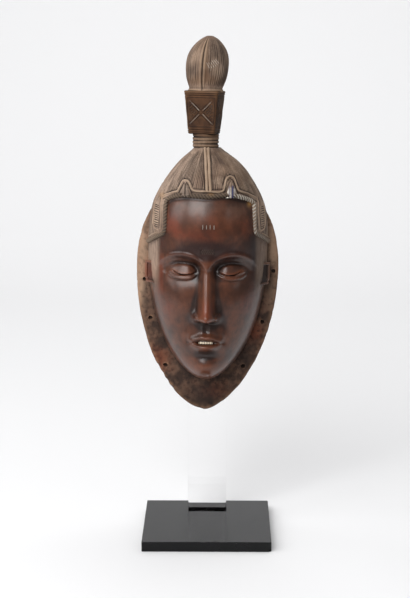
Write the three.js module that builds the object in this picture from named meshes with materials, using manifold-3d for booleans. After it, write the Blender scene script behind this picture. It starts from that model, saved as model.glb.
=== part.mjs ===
// A carved wooden face mask with a tall topknot, hung on a clear upright that stands in a dark square foot.
// Millimetres, +Z up. The face looks along -Y. The origin is the centre of the foot's underside.
import * as THREE from "three";
import { mergeVertices } from "three/addons/utils/BufferGeometryUtils.js";
import Module from "manifold-3d";

const wasm = await Module();
wasm.setup();

// Foot and upright. The upright is a clear block let into a blind slot near the back of the foot.
const FOOT_SIDE = 130;
const FOOT_THICK = 10.3;
const FOOT_CHIP = 3.4; // the corner knocked off at the front right, low down
const SLOT_DEPTH = 8;
const SLOT_PLAY = 0.35;
const UPRIGHT_WIDE = 40;
const UPRIGHT_DEEP = 20;
const UPRIGHT_FRONT = 29; // how far its front face is behind the foot's middle
const UPRIGHT_BEVEL = 0.6;

// How the mask hangs: the roof of its hollow on the upright's top, its back edge against the upright's front.
const LEAN = THREE.MathUtils.degToRad(3.5);
const TILT = THREE.MathUtils.degToRad(1.1);
const MASK_X = -2.6;
const MASK_Z = 123.6;
const REST_H = 60; // where the back edge of the hollow first lets the upright in
const REST_GAP = 0.35;

// The mask's own frame: x to the right, h up from the rim's lowest point, w forward from its flat back.
// Stations are [h, value] pairs that a smooth curve runs through.
const CHIN_H = 34;
const WIDEST_H = 165;
const CROWN_H = 271;
const HEAD_HALF = 61;
const HEAD_TAPER = [2.15, 0.57];
const HEAD_SIDE = [
  [WIDEST_H, HEAD_HALF], [190, 60.8], [212, 57.6], [227, 51.5], [243, 41.8],
  [252, 35], [260, 27], [267, 18], [CROWN_H, 13.6],
];
const HEAD_FRONT = [
  [CHIN_H, 45], [56, 49], [80, 54], [100, 58], [125, 62], [150, 66], [175, 70.5],
  [200, 72.5], [222, 69.5], [240, 60.5], [255, 48.5], [265, 39], [CROWN_H, 34],
];
const HEAD_ROUND = 2.15; // exponent of the head's cross-section
const CHIN_ROUND = [22, 2.5, 0.4];
const CROWN_DRIFT = -2.4; // how far the crown stands left of the chin
const CROWN_BACK = 8; // how far the crown's back is rounded forward

// The flat rim round the face, with its lacing holes and its worn lower left edge.
const RIM_WIDEST_H = 148;
const RIM_HALF = 73;
const RIM_TAPER = { right: [1.95, 0.635], left: [1.95, 0.575] };
const RIM_SIDE = [
  [RIM_WIDEST_H, RIM_HALF], [161, 72.6], [177, 70.4], [194, 65.8], [204, 61],
  [212, 56.5], [222, 49], [232, 38], [240, 24], [243, 6],
];
const RIM_TOP_H = 243;
const RIM_STEPS = 20;
const RIM_LAYERS = [[0, 0.6], [2.2, 0], [5, 0.4], [7, 2.6], [9.5, 15]]; // w, inset from the outline
const RIM_NICKS = [[45, 0.8, 2.4], [37, 1.2, 3], [29.5, 1.4, 2.6], [22, 0.9, 2]]; // h, depth, reach
const LACE_RADIUS = 2.1;
const LACE_HOLES = [[-64, 135], [-57.6, 95], [-41.4, 46], [67.4, 145.5], [57.4, 93], [38.6, 46.6]];

// The hollow behind the face.
const WALL_SIDE = 10;
const WALL_FRONT = 12;
const HOLLOW_H = [44, 250];

// A plain oval face by the usual thirds: hairline, brow, base of the nose, chin.
const EYE = { x: 24.5, h: 149, half: 15.5, high: 8.8, proud: 6, slit: 11, open: 2.2 };
const BROW = { x: 26, h: 167.2, arch: 0.0145 };
const NOSE = { root: 158, tip: 106, base: 97.5, high: 20.5, half: 9.5, wing: 8.6 };
const MOUTH = { h: 79, half: 18.5, lip: 4.8, proud: 4.2 };

// The hair: a corded edge round the forehead, two small tufts, a thin line outside it, a double crest.
const HAIR_PROUD = 1.8;
const CORD = [
  [-60.5, 175.5], [-52, 182.5], [-43.4, 188.5], [-42.4, 204], [-41.6, 219], [-37.5, 222.8], [-24, 226],
  [-1, 225.3], [21, 227], [38, 222.6], [44, 218.4], [45.4, 204], [47, 190], [55.5, 183], [62.5, 176],
];
const CORD_RADIUS = 2.7;
const LINE = [
  [-47.5, 191], [-47, 206], [-46, 222.5], [-36, 227.8], [-31, 229.5], [-25.6, 239.5], [-22.4, 239.3],
  [-17.5, 230.8], [-1, 230.4], [14.5, 231], [20, 244.6], [24.4, 244.6], [30.5, 231], [39, 227.6],
  [48.4, 221.5], [50, 206], [51.4, 192],
];
const LINE_RADIUS = 1.7;
const TUFTS = [[-24, 227, 12], [22.3, 228, 16]]; // x, h of the foot, height
const TUFT_HALF = 6;
const CREST_X = [-2.8, 0.2]; // at the neck and at the hairline
const CREST_SPREAD = 2;
const CREST_RADIUS = 1.5;

// Squared ears below the temples, each a bracket open towards the face.
const EAR_AT = [53, 21.5, 145.5]; // x, w, h of the middle
const EAR_TURN = THREE.MathUtils.degToRad(40);
const EAR_SIZE = [15, 16, 23.5];
const EAR_BAR = 3;
const EAR_SUNK = 3;

// The topknot, carved with the mask and turned a little to the left: a ringed neck, a tapered box, a bun.
const KNOT_TURN = THREE.MathUtils.degToRad(-13);
const KNOT_X = -4.2;
const KNOT_W = 20;
const NECK_RADIUS = 12.3;
const NECK_RING = 1;
const NECK_RINGS_H = [273.4, 277, 280.6];
const BOX_H = [285.2, 328];
const BOX_HALF = [13.4, 17.2];
const BOX_CORNER = 1.6;
const BOX_SHIFT = -1.9;
const BOX_CUT = 0.8;
const EGG_H = [327, 382.4];
const EGG_RADIUS = [
  [327, 17.4], [330, 16.6], [334, 18], [341, 20.2], [351, 21.4], [358, 21.2], [364, 19.9], [370, 17],
  [375, 13], [379, 8.5], [381.2, 4.8],
];
const EGG_DRIFT = [[327, -1.2], [351, 0], [370, 1.2], [382.4, 2.4]];
const EGG_DEEP = 0.95;
const EGG_RIDGE = [1.3, 0.13]; // height, and half the angle between its two crests

const WOOD = new THREE.MeshStandardMaterial({ color: 0x5a3a2c, roughness: 0.45, metalness: 0 });
const BLACK = new THREE.MeshStandardMaterial({ color: 0x242426, roughness: 0.4, metalness: 0 });
const CLEAR = new THREE.MeshStandardMaterial({
  color: 0xf4f8f8,
  roughness: 0.05,
  metalness: 0,
  transparent: true,
  opacity: 0.25,
});

const clamp01 = (t) => THREE.MathUtils.clamp(t, 0, 1);
const bell = (d, reach) => Math.exp(-((d / reach) ** 2));
const rise = THREE.MathUtils.smoothstep;
const steps = (count, at) => Array.from({ length: count }, (_, i) => at(i / (count - 1)));

// A smooth curve through stations, flat beyond its ends.
function through(stations) {
  const slope = (i) => {
    const a = stations[Math.max(i - 1, 0)];
    const b = stations[Math.min(i + 1, stations.length - 1)];
    return (b[1] - a[1]) / (b[0] - a[0]);
  };
  return (at) => {
    if (at <= stations[0][0]) return stations[0][1];
    const i = stations.findIndex((s) => s[0] >= at) - 1;
    if (i < 0) return stations.at(-1)[1];
    const [[a, va], [b, vb]] = [stations[i], stations[i + 1]];
    const t = (at - a) / (b - a);
    const keep = 2 * t ** 3 - 3 * t ** 2 + 1;
    const bend = slope(i) * (t ** 3 - 2 * t ** 2 + t) + slope(i + 1) * (t ** 3 - t ** 2);
    return keep * va + (1 - keep) * vb + (b - a) * bend;
  };
}

// The lower half of an outline, closing to a point at t = 0 and full at t = 1.
const taper = (t, power, blunt) => (1 - (1 - clamp01(t)) ** power) ** blunt;

const headSide = through(HEAD_SIDE);
const headFront = through(HEAD_FRONT);
const rimSide = through(RIM_SIDE);
const eggRadius = through(EGG_RADIUS);
const eggDrift = through(EGG_DRIFT);
const headMiddle = (h) => CROWN_DRIFT * rise(h, 250, CROWN_H + 5);
const headBack = (h) => CROWN_BACK * rise(h, 250, CROWN_H) ** 2;

function headHalf(h) {
  if (h > WIDEST_H) return headSide(h);
  return HEAD_HALF * taper((h - CHIN_H) / (WIDEST_H - CHIN_H), ...HEAD_TAPER);
}

function headDeep(h) {
  const [reach, power, blunt] = CHIN_ROUND;
  return headFront(h) * taper((h - CHIN_H) / reach, power, blunt);
}

// How far forward the smooth head is at x, h, before its carving.
function headSkin(x, h) {
  const across = clamp01(Math.abs(x) / headHalf(h));
  return headDeep(h) * (1 - across ** HEAD_ROUND) ** (1 / HEAD_ROUND);
}

function eyes(ax, h) {
  const brow = BROW.h - BROW.arch * (ax - BROW.x) ** 2;
  const orbit = -7.2 * bell(ax - 22, 19) * bell(h - EYE.h - 4, 14) * (1 - rise(h, brow - 5, brow + 1));
  const away = ((ax - EYE.x) / EYE.half) ** 2 + ((h - EYE.h) / EYE.high) ** 2;
  const edge = bell(h - brow - 1, 2.4) * rise(ax, 2, 9) * (1 - rise(ax, 42, 49));
  return orbit + edge + EYE.proud * Math.max(1 - away, 0) ** 0.7;
}

function nose(ax, h) {
  const down = clamp01((NOSE.root - h) / (NOSE.root - NOSE.tip));
  const half = NOSE.half + 4 * down ** 2;
  const bridge = (3 + (NOSE.high - 3) * down ** 1.12) * (1 - rise(h, NOSE.root - 2, NOSE.root + 14));
  const ridge = bridge * (0.5 + 0.5 * Math.cos(Math.PI * clamp01(ax / half))) ** 0.85;
  const tip = 2.6 * bell(ax, 6.2) * bell(h - NOSE.tip, 5);
  const wing = NOSE.wing * bell(ax - 9.6, 4.3) * bell(h - NOSE.tip + 1.5, 5.6);
  return Math.max(ridge + tip, wing) * rise(h, NOSE.base, NOSE.base + 6);
}

function mouth(ax, h) {
  const muzzle = 6 * bell(ax, 25) * bell(h - MOUTH.h, 20);
  const full = Math.max(1 - (ax / MOUTH.half) ** 2, 0) ** 0.55;
  const upper = MOUTH.proud * bell(h - MOUTH.h - MOUTH.lip + 0.012 * ax ** 2, 3.2);
  const lower = MOUTH.proud * bell(h - MOUTH.h + MOUTH.lip - 0.016 * ax ** 2, 3.9);
  return muzzle + full * (upper + lower - 2.6 * bell(h - MOUTH.h, 1.6));
}

function chinAndCheeks(ax, h) {
  const chin = 5 * bell(ax, 15) * bell(h - 50, 11) - 2.6 * bell(ax, 15) * bell(h - 64.5, 5);
  const cheek = 3.6 * bell(ax - 34, 15) * bell(h - 119, 21) - 2 * bell(ax - 53, 9) * bell(h - 168, 20);
  return chin + cheek + 2.2 * bell(ax, 34) * bell(h - 196, 26);
}

// The hair stands a little proud of the forehead, above the corded edge.
function hair(x, h) {
  const i = Math.max(CORD.findIndex((p) => p[0] > x), 1);
  const [a, b] = x > CORD.at(-1)[0] ? CORD.slice(-2) : [CORD[i - 1], CORD[i]];
  const slope = (b[1] - a[1]) / (b[0] - a[0]);
  const above = (h - a[1] - slope * (x - a[0])) / Math.hypot(1, slope);
  const tufts = TUFTS.map(([at, foot, high]) => {
    const half = TUFT_HALF * (1 - (h - foot) / high);
    return half > 0 && h > foot ? 2.4 * clamp01(1.6 * (1 - Math.abs(x - at) / half)) : 0;
  });
  return HAIR_PROUD * rise(above, -1, 1) + Math.max(...tufts);
}

// The carved surface: how far forward the head is at x, h. Features fade out towards its sides.
function carved(x, h) {
  const ax = Math.abs(x);
  const fade = 1 - rise(ax / headHalf(h), 0.8, 0.97);
  const face = eyes(ax, h) + nose(ax, h) + mouth(ax, h) + chinAndCheeks(ax, h);
  return headSkin(x, h) + fade * face + hair(x, h) * (1 - rise(ax / headHalf(h), 0.97, 1));
}

const inMask = (x, h, w) => new THREE.Vector3(x, -w, h);

// A point over the head, or over the rim beside it.
function onHead(x, h, proud) {
  const rimFront = RIM_LAYERS.at(-1)[0];
  return inMask(x + headMiddle(h), h, Math.max(carved(x, h), rimFront) + proud);
}

// A closed body through rings of points that all run the same way; a ring of one point is a tip.
function loft(rings) {
  const points = rings.flat();
  const faces = [];
  const cap = (start, count, flip) => {
    const middle = new THREE.Vector3();
    for (let i = 0; i < count; i++) middle.addScaledVector(points[start + i], 1 / count);
    const at = points.push(middle) - 1;
    for (let i = 0; i < count; i++) {
      const [a, b] = [start + i, start + ((i + 1) % count)];
      faces.push(...(flip ? [at, b, a] : [at, a, b]));
    }
  };
  let start = 0;
  for (let r = 0; r + 1 < rings.length; r++) {
    const [count, nextCount] = [rings[r].length, rings[r + 1].length];
    const next = start + count;
    const around = Math.max(count, nextCount);
    for (let i = 0; i < around; i++) {
      const j = (i + 1) % around;
      if (count > 1) faces.push(start + i, start + j, next + (nextCount > 1 ? j : 0));
      if (nextCount > 1) faces.push(start + (count > 1 ? i : 0), next + j, next + i);
    }
    if (r === 0 && count > 1) cap(start, count, true);
    start = next;
  }
  if (rings.at(-1).length > 1) cap(start, rings.at(-1).length, false);
  const position = new Float32Array(points.flatMap((p) => p.toArray()));
  const body = new THREE.BufferGeometry();
  body.setAttribute("position", new THREE.BufferAttribute(position, 3));
  return body.setIndex(faces);
}

// A three.js geometry as a solid that can be joined and cut.
function solid(geometry) {
  const bare = geometry.clone();
  bare.deleteAttribute("normal");
  bare.deleteAttribute("uv");
  const merged = mergeVertices(bare, 1e-4);
  const vertProperties = merged.attributes.position.array;
  const triVerts = new Uint32Array(merged.index.array);
  return new wasm.Manifold(new wasm.Mesh({ numProp: 3, vertProperties, triVerts }));
}

function geometryOf(made) {
  const mesh = made.getMesh();
  const geometry = new THREE.BufferGeometry();
  geometry.setAttribute("position", new THREE.BufferAttribute(new Float32Array(mesh.vertProperties), 3));
  geometry.setIndex(new THREE.BufferAttribute(new Uint32Array(mesh.triVerts), 1));
  geometry.computeVertexNormals();
  return geometry;
}

// Heights of the head's rings, close together where the carving is fine, as [from, to, count].
function headHeights() {
  const bands = [
    [CHIN_H + 0.5, 40, 2], [40, 70, 5], [70, 90, 8], [90, 97, 2], [97, 106, 4],
    [106, 140, 5], [140, 170, 12], [170, 220, 7], [220, 244, 8], [244, CROWN_H, 5],
  ];
  const heights = bands.flatMap(([from, to, count]) =>
    Array.from({ length: count }, (_, i) => from + ((to - from) * i) / count),
  );
  return [...heights, CROWN_H];
}

// Angles across the head from its left edge to its right, closer together near the middle.
function headAngles(count) {
  return steps(count, (t) => {
    const across = 2 * t - 1;
    return (Math.PI / 2) * (0.6 * across + 0.4 * across ** 3);
  });
}

function head() {
  const angles = headAngles(35);
  const rings = headHeights().map((h) =>
    angles.map((angle, i) => {
      const x = headHalf(h) * Math.sign(angle) * Math.abs(Math.sin(angle)) ** (2 / HEAD_ROUND);
      const atEdge = i === 0 || i === angles.length - 1;
      const w = atEdge ? headBack(h) : Math.max(carved(x, h), headBack(h) + 0.5);
      return inMask(x + headMiddle(h), h, w);
    }),
  );
  return loft([[inMask(0, CHIN_H, 0)], ...rings]);
}

// The rim's half-width at a height, with the wear along its lower left edge.
function rimHalf(h, side) {
  const blunt = side > 0 ? RIM_TAPER.right : RIM_TAPER.left;
  const full = h > RIM_WIDEST_H ? rimSide(h) : RIM_HALF * taper(h / RIM_WIDEST_H, ...blunt);
  const worn = RIM_NICKS.reduce((sum, [at, deep, reach]) => sum + deep * bell(h - at, reach), 0);
  return side > 0 ? full : full - worn;
}

function rim() {
  const middle = RIM_TOP_H / 2;
  const heights = steps(RIM_STEPS + 1, (t) => RIM_TOP_H * ((1 - Math.cos(Math.PI * t)) / 2)).slice(1, -1);
  const right = heights.map((h) => [rimHalf(h, 1), h]);
  const left = heights.map((h) => [-rimHalf(h, -1), h]).reverse();
  const outline = [...right, [0, RIM_TOP_H], ...left, [-2, 0]];
  const rings = RIM_LAYERS.map(([w, inset]) =>
    outline.map(([x, h]) => {
      const share = 1 - inset / Math.hypot(x, h - middle);
      return inMask(x * share, middle + (h - middle) * share, w);
    }),
  );
  return loft(rings);
}

// The hollow as a body to cut away, running out through the mask's back.
function hollow() {
  const [low, high] = HOLLOW_H;
  const across = headAngles(13);
  const rings = steps(13, (t) => {
    const h = low + (high - low) * (0.35 * t + 0.65 * (t < 0.5 ? 2 * t * t : 1 - 2 * (1 - t) ** 2));
    const blunt = taper((h - low + 2) / 24, 2.2, 0.5);
    const half = (headHalf(h) - WALL_SIDE) * blunt;
    const deep = (headDeep(h) - WALL_FRONT) * blunt;
    const middle = headMiddle(h);
    const front = across.map((angle) => {
      const x = half * Math.sin(angle);
      return inMask(x + middle, h, deep * Math.max(Math.cos(angle), 0) ** (2 / HEAD_ROUND));
    });
    return [inMask(middle - half, h, -5), ...front, inMask(middle + half, h, -5)];
  });
  return loft(rings);
}

const laceHole = ([x, h]) => new THREE.CylinderGeometry(LACE_RADIUS, LACE_RADIUS, 30, 8).translate(x, 0, h);

// A downcast slit under each lid, pierced through the wall.
function eyeSlit(side) {
  const shape = new THREE.Shape();
  shape.moveTo(-EYE.slit, 0);
  shape.quadraticCurveTo(0, -2.4, EYE.slit, 0);
  shape.quadraticCurveTo(0, -2.4 - 2 * EYE.open, -EYE.slit, 0);
  const cutter = new THREE.ExtrudeGeometry(shape, { depth: 60, bevelEnabled: false, curveSegments: 5 });
  return cutter.rotateX(Math.PI / 2).translate(side * EYE.x, -30, EYE.h - 1.2);
}

// A tube of few sides along a path of [x, h] points on the head.
function tubeOnHead(path, radius, sides, count, sunk) {
  const points = path.map(([x, h]) => onHead(x, h, -sunk));
  const curve = new THREE.CatmullRomCurve3(points, false, "centripetal");
  const section = new THREE.Shape().absarc(0, 0, radius, 0, 2 * Math.PI, false);
  return new THREE.ExtrudeGeometry(section, {
    steps: count,
    extrudePath: curve,
    bevelEnabled: false,
    curveSegments: sides / 2,
  });
}

function crest(side) {
  const [top, foot] = CREST_X;
  const path = steps(7, (t) => [
    foot + (top - foot) * t + side * CREST_SPREAD - headMiddle(228 + 40 * t),
    228 + 40 * t,
  ]);
  return tubeOnHead(path, CREST_RADIUS, 4, 6, 0.2);
}

function ear(side) {
  const [wide, thick, high] = EAR_SIZE;
  const [x, w, h] = EAR_AT;
  const place = (geometry) => geometry.rotateZ(side * EAR_TURN).translate(side * x, -w, h);
  const block = place(new THREE.BoxGeometry(wide, thick, high));
  const sunk = new THREE.BoxGeometry(wide, 2 * EAR_SUNK, high - 2 * EAR_BAR);
  return solid(block).subtract(solid(place(sunk.translate(-side * EAR_BAR, -thick / 2, 0))));
}

// A point of the topknot, from x, h, w about its own middle.
function inKnot(x, h, w) {
  const [c, s] = [Math.cos(KNOT_TURN), Math.sin(KNOT_TURN)];
  return inMask(KNOT_X + x * c + w * s, h, KNOT_W + w * c - x * s);
}

// The corners of an oblong section with bevelled corners, in order round its middle.
function bevelledOblong(x, y, corner) {
  const [flatX, flatY] = [x - corner, y - corner];
  return [
    [x, flatY], [flatX, y], [-flatX, y], [-x, flatY],
    [-x, -flatY], [-flatX, -y], [flatX, -y], [x, -flatY],
  ];
}

function neck() {
  const ring = (radius, h) =>
    Array.from({ length: 14 }, (_, i) => {
      const angle = (Math.PI * i) / 7;
      return inKnot(radius * Math.cos(angle), h, radius * Math.sin(angle));
    });
  const rings = NECK_RINGS_H.flatMap((h) => [
    ring(NECK_RADIUS, h - 1.7),
    ring(NECK_RADIUS + NECK_RING, h - 0.8),
    ring(NECK_RADIUS + NECK_RING, h + 0.8),
  ]);
  const top = [ring(NECK_RADIUS - 0.5, BOX_H[0] - 2), ring(NECK_RADIUS, BOX_H[0] + 4)];
  return loft([ring(NECK_RADIUS + 3, 262), ...rings, ...top].reverse());
}

function box() {
  const [low, high] = BOX_H;
  const proud = [
    [low, -1.2], [low + 1.2, 0.2], [low + 3.6, 0.2], [low + 4.2, -0.4], [low + 4.8, 0.1],
    [high - 5.4, 0.3], [high - 4.8, -0.3], [high - 4.2, 0.4], [high - 0.8, 0.4], [high, -0.4],
  ];
  const rings = proud.map(([h, out]) => {
    const half = BOX_HALF[0] + ((BOX_HALF[1] - BOX_HALF[0]) * (h - low)) / (high - low) + out;
    return bevelledOblong(half, half, BOX_CORNER).map(([x, w]) => inKnot(x + BOX_SHIFT, h, w));
  });
  return loft(rings.reverse());
}

// The crossed grooves on one side of the box, two to each slant.
function boxGrooves(turn) {
  const [low, high] = BOX_H;
  const half = (BOX_HALF[0] + BOX_HALF[1]) / 2 + 0.2;
  const rake = Math.atan2(BOX_HALF[1] - BOX_HALF[0], high - low);
  return [-1, 1].flatMap((slant) =>
    [-2.2, 2.2].map((shift) => {
      const bar = new THREE.BoxGeometry(34, 2 * BOX_CUT, 1).translate(0, 0, shift);
      bar.rotateY(slant * THREE.MathUtils.degToRad(48)).rotateX(rake).translate(0, -half, (low + high) / 2);
      return bar.rotateZ(turn).translate(BOX_SHIFT, 0, 0).rotateZ(KNOT_TURN).translate(KNOT_X, -KNOT_W, 0);
    }),
  );
}

// The bun, with a double ridge up its front and a flattened seam at its foot.
function egg() {
  const [low, high] = EGG_H;
  const front = Math.PI / 2;
  const [proud, half] = EGG_RIDGE;
  const away = [half, 2 * half, 0.45, 0.75, 1.1, 1.5, 1.95, 2.4, 2.8];
  const turns = [0, ...away, Math.PI, ...away.map((a) => -a).reverse()];
  const ring = (h) =>
    turns.map((turn) => {
      const angle = front + turn;
      const ridge = proud * clamp01(1 - Math.abs(Math.abs(turn) - half) / half) * clamp01(eggRadius(h) / 12);
      const r = eggRadius(h) + ridge;
      return inKnot(eggDrift(h) + r * Math.cos(angle), h, r * EGG_DEEP * Math.sin(angle));
    });
  const heights = [low, 330, 334, 341, 350, 358, 365, 371, 376, 379.5, 381.4];
  return loft([...heights.map(ring), [inKnot(eggDrift(high), high, 0)]].reverse());
}

function mask() {
  const added = [
    rim(),
    tubeOnHead(CORD, CORD_RADIUS, 6, 36, 0.5),
    tubeOnHead(LINE, LINE_RADIUS, 4, 36, 0.7),
    crest(-1),
    crest(1),
    neck(),
    box(),
    egg(),
  ];
  const quarters = [0, 1, 2, 3].map((k) => (k * Math.PI) / 2);
  const holes = [...LACE_HOLES.map(laceHole), eyeSlit(-1), eyeSlit(1)];
  const cut = [hollow(), ...holes, ...quarters.flatMap(boxGrooves)];
  const pieces = [...added.map(solid), ear(-1), ear(1)];
  const joined = pieces.reduce((body, piece) => body.add(piece), solid(head()));
  const finished = cut.reduce((body, tool) => body.subtract(solid(tool)), joined);
  const mesh = new THREE.Mesh(geometryOf(finished), WOOD);
  mesh.name = "mask";
  mesh.rotation.set(-LEAN, TILT, 0, "YXZ");
  mesh.position.set(MASK_X, UPRIGHT_FRONT - REST_GAP - REST_H * Math.sin(LEAN), MASK_Z);
  return mesh;
}

function foot() {
  const plate = new THREE.BoxGeometry(FOOT_SIDE, FOOT_SIDE, FOOT_THICK).translate(0, 0, FOOT_THICK / 2);
  const [wide, deep] = [UPRIGHT_WIDE + 2 * SLOT_PLAY, UPRIGHT_DEEP + 2 * SLOT_PLAY];
  const slot = new THREE.BoxGeometry(wide, deep, 2 * SLOT_DEPTH);
  slot.translate(0, UPRIGHT_FRONT + UPRIGHT_DEEP / 2, FOOT_THICK);
  const chip = new THREE.BoxGeometry(FOOT_CHIP, FOOT_CHIP, FOOT_CHIP).rotateZ(Math.PI / 4).rotateY(0.5);
  chip.translate(FOOT_SIDE / 2 + 0.4, -FOOT_SIDE / 2 - 0.4, 0.6);
  const mesh = new THREE.Mesh(geometryOf(solid(plate).subtract(solid(slot)).subtract(solid(chip))), BLACK);
  mesh.name = "stand_foot";
  return mesh;
}

// The upright ends just under the lower corner of the hollow's roof.
function upright() {
  const bottom = FOOT_THICK - SLOT_DEPTH + SLOT_PLAY;
  const roof = new THREE.Vector3(UPRIGHT_WIDE / 2 - MASK_X, 0, HOLLOW_H[1]);
  roof.applyEuler(new THREE.Euler(-LEAN, TILT, 0, "YXZ"));
  const top = MASK_Z + roof.z - REST_GAP;
  const corners = bevelledOblong(UPRIGHT_WIDE / 2, UPRIGHT_DEEP / 2, UPRIGHT_BEVEL);
  const section = new THREE.Shape(corners.map(([x, y]) => new THREE.Vector2(x, y)));
  const block = new THREE.ExtrudeGeometry(section, { depth: top - bottom, bevelEnabled: false });
  const mesh = new THREE.Mesh(geometryOf(solid(block)), CLEAR);
  mesh.position.set(0, UPRIGHT_FRONT + UPRIGHT_DEEP / 2, bottom);
  mesh.name = "stand_upright";
  return mesh;
}

const maskOnStand = new THREE.Group();
maskOnStand.add(mask(), foot(), upright());
export default maskOnStand;
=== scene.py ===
"""A carved wooden face mask with a tall topknot, hung on a clear upright in a dark square foot."""

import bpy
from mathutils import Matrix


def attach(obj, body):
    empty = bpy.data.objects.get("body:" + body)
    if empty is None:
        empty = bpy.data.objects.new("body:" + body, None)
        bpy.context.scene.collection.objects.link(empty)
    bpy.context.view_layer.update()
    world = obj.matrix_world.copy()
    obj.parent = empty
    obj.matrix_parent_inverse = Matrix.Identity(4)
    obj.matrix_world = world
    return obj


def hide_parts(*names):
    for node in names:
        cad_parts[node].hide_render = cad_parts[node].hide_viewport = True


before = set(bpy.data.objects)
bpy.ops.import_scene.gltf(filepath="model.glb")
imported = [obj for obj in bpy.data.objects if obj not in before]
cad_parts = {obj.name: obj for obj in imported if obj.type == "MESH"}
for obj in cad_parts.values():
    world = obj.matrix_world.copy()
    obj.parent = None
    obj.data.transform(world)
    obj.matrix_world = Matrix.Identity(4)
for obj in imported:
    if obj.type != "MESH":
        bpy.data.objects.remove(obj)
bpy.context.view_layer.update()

import itertools
import math

import bmesh
import bpy
import numpy as np
from mathutils import Matrix, Vector

scene = bpy.context.scene
MM = 0.001

# The camera stands a little above the mask's middle and looks slightly down at it.

LENS, SENSOR = 94.5, 36.0
CAMERA_AT = (0.0134, -1.554, 0.556)
YAW, PITCH = math.radians(-0.57), math.radians(11.32)


def aimed(data, place, direction):
    """A camera or a light at a place, looking along a direction."""
    thing = bpy.data.objects.new(data.name, data)
    scene.collection.objects.link(thing)
    thing.location = place
    thing.rotation_euler = Vector(direction).to_track_quat("-Z", "Y").to_euler()
    return thing


camera = bpy.data.cameras.new("camera")
camera.lens, camera.sensor_width = LENS, SENSOR
ahead = (math.sin(YAW) * math.cos(PITCH), math.cos(YAW) * math.cos(PITCH), -math.sin(PITCH))
scene.camera = aimed(camera, CAMERA_AT, ahead)

# The mask's own frame is in millimetres: x to the right, h up from the rim's lowest point, w forward.

LEAN, TILT = math.radians(3.5), math.radians(1.1)
HUNG_AT = (-2.6, 24.987, 123.6)
SCALED = Matrix.Scale(MM, 4)
LEANING = Matrix.Rotation(TILT, 4, "Y") @ Matrix.Rotation(-LEAN, 4, "X")
HUNG = Matrix.Translation(Vector(HUNG_AT) * MM) @ LEANING @ SCALED

# The head is an egg cut flat behind, and narrows towards the chin by a power and a bluntness.
CHIN_H, WIDEST_H, CROWN_H, HEAD_HALF = 34.0, 165.0, 271.0, 61.0
HEAD_TAPER = (2.15, 0.57)
HEAD_ROUND = 2.15
CHIN_ROUND = (22, 2.5, 0.4)
CROWN_DRIFT, CROWN_BACK = -2.4, 8.0
RIM_FRONT_W = 9.5

# What a place is: oiled face, dry hair, rough rim, topknot, pale proud line (painted highlight on the hair's
# strands), dark cut line and painted shade, cord, pale or blue paint, tooth, or the inside of the hollow.
MARKS = "polish hair rough knot ridge groove cord paint blue tooth inside".split()
STROKE_MARKS = ("paint", "groove", "blue")


def bell(away, reach):
    return np.exp(-((away / reach) ** 2))


def held(value):
    return np.clip(value, 0.0, 1.0)


def rise(at, low, high):
    t = held((at - low) / (high - low))
    return t * t * (3 - 2 * t)


def fall(at, low, high):
    return 1.0 - rise(at, low, high)


def span(at, low, full, leaving, high):
    """1 from full to leaving, 0 below low and above high."""
    return rise(at, low, full) * fall(at, leaving, high)


def turns_round(count):
    return np.linspace(0, 2 * np.pi, count + 1)[:-1]


def mounds(rows, x, h):
    """Soft mounds and hollows, each by its x, h, how wide, how high, how much."""
    return sum(much * bell(x - px, wide) * bell(h - ph, high) for px, ph, wide, high, much in rows)


def triples(a, b, c):
    """Rows of three: points from their x, h and w, or the corners of faces."""
    return np.stack(np.broadcast_arrays(a, b, c), axis=-1)


def through(stations):
    """A smooth curve through stations, flat beyond its ends."""
    at, value = np.array(stations, float).T
    near = np.arange(len(at))
    before, after = np.maximum(near - 1, 0), np.minimum(near + 1, len(at) - 1)
    slope = (value[after] - value[before]) / (at[after] - at[before])

    def curve(where):
        where = np.clip(where, at[0], at[-1])
        i = np.clip(np.searchsorted(at, where) - 1, 0, len(at) - 2)
        run = at[i + 1] - at[i]
        t = (where - at[i]) / run
        keep = 2 * t**3 - 3 * t**2 + 1
        bend = slope[i] * (t**3 - 2 * t**2 + t) + slope[i + 1] * (t**3 - t**2)
        return keep * value[i] + (1 - keep) * value[i + 1] + run * bend

    return curve


def taper(t, power, blunt):
    return (1 - (1 - held(t)) ** power) ** blunt


def lumps(points, size, seed):
    """Smooth noise from -1 to 1, with lumps of about that size."""
    cells = points / size + 31.7 * seed
    corner = np.floor(cells).astype(np.int64)
    part = cells - corner
    part = part * part * (3 - 2 * part)
    total = np.zeros(points.shape[:-1])
    for step in np.ndindex(2, 2, 2):
        mixed = (corner + step) @ np.array([73856093, 19349663, 83492791]) + seed * 7919
        mixed = (mixed ^ (mixed >> 13)) * 1274126177 & 0x7FFFFFFF
        mixed = (mixed ^ (mixed >> 16)) * 1103515245 & 0x7FFFFFFF
        weight = np.prod(np.where(np.array(step, bool), part, 1 - part), axis=-1)
        total += weight * (mixed / 0x3FFFFFFF - 1)
    return total


head_side = through([
    [WIDEST_H, HEAD_HALF], [190, 60.8], [212, 57.6], [227, 51.5], [243, 41.8],
    [252, 35], [260, 27], [267, 18], [CROWN_H, 13.6],
])
head_front = through([
    [CHIN_H, 45], [56, 49], [80, 54], [100, 58], [125, 62], [150, 66], [175, 70.5],
    [200, 72.5], [222, 69.5], [240, 60.5], [255, 48.5], [265, 39], [CROWN_H, 34],
])


def head_half(h):
    low = HEAD_HALF * taper((h - CHIN_H) / (WIDEST_H - CHIN_H), *HEAD_TAPER)
    return np.where(h > WIDEST_H, head_side(h), low)


def head_deep(h):
    reach, power, blunt = CHIN_ROUND
    return head_front(h) * taper((h - CHIN_H) / reach, power, blunt)


def head_middle(h):
    return CROWN_DRIFT * rise(h, 250, CROWN_H + 5)


def head_back(h):
    return CROWN_BACK * rise(h, 250, CROWN_H) ** 2


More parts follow.
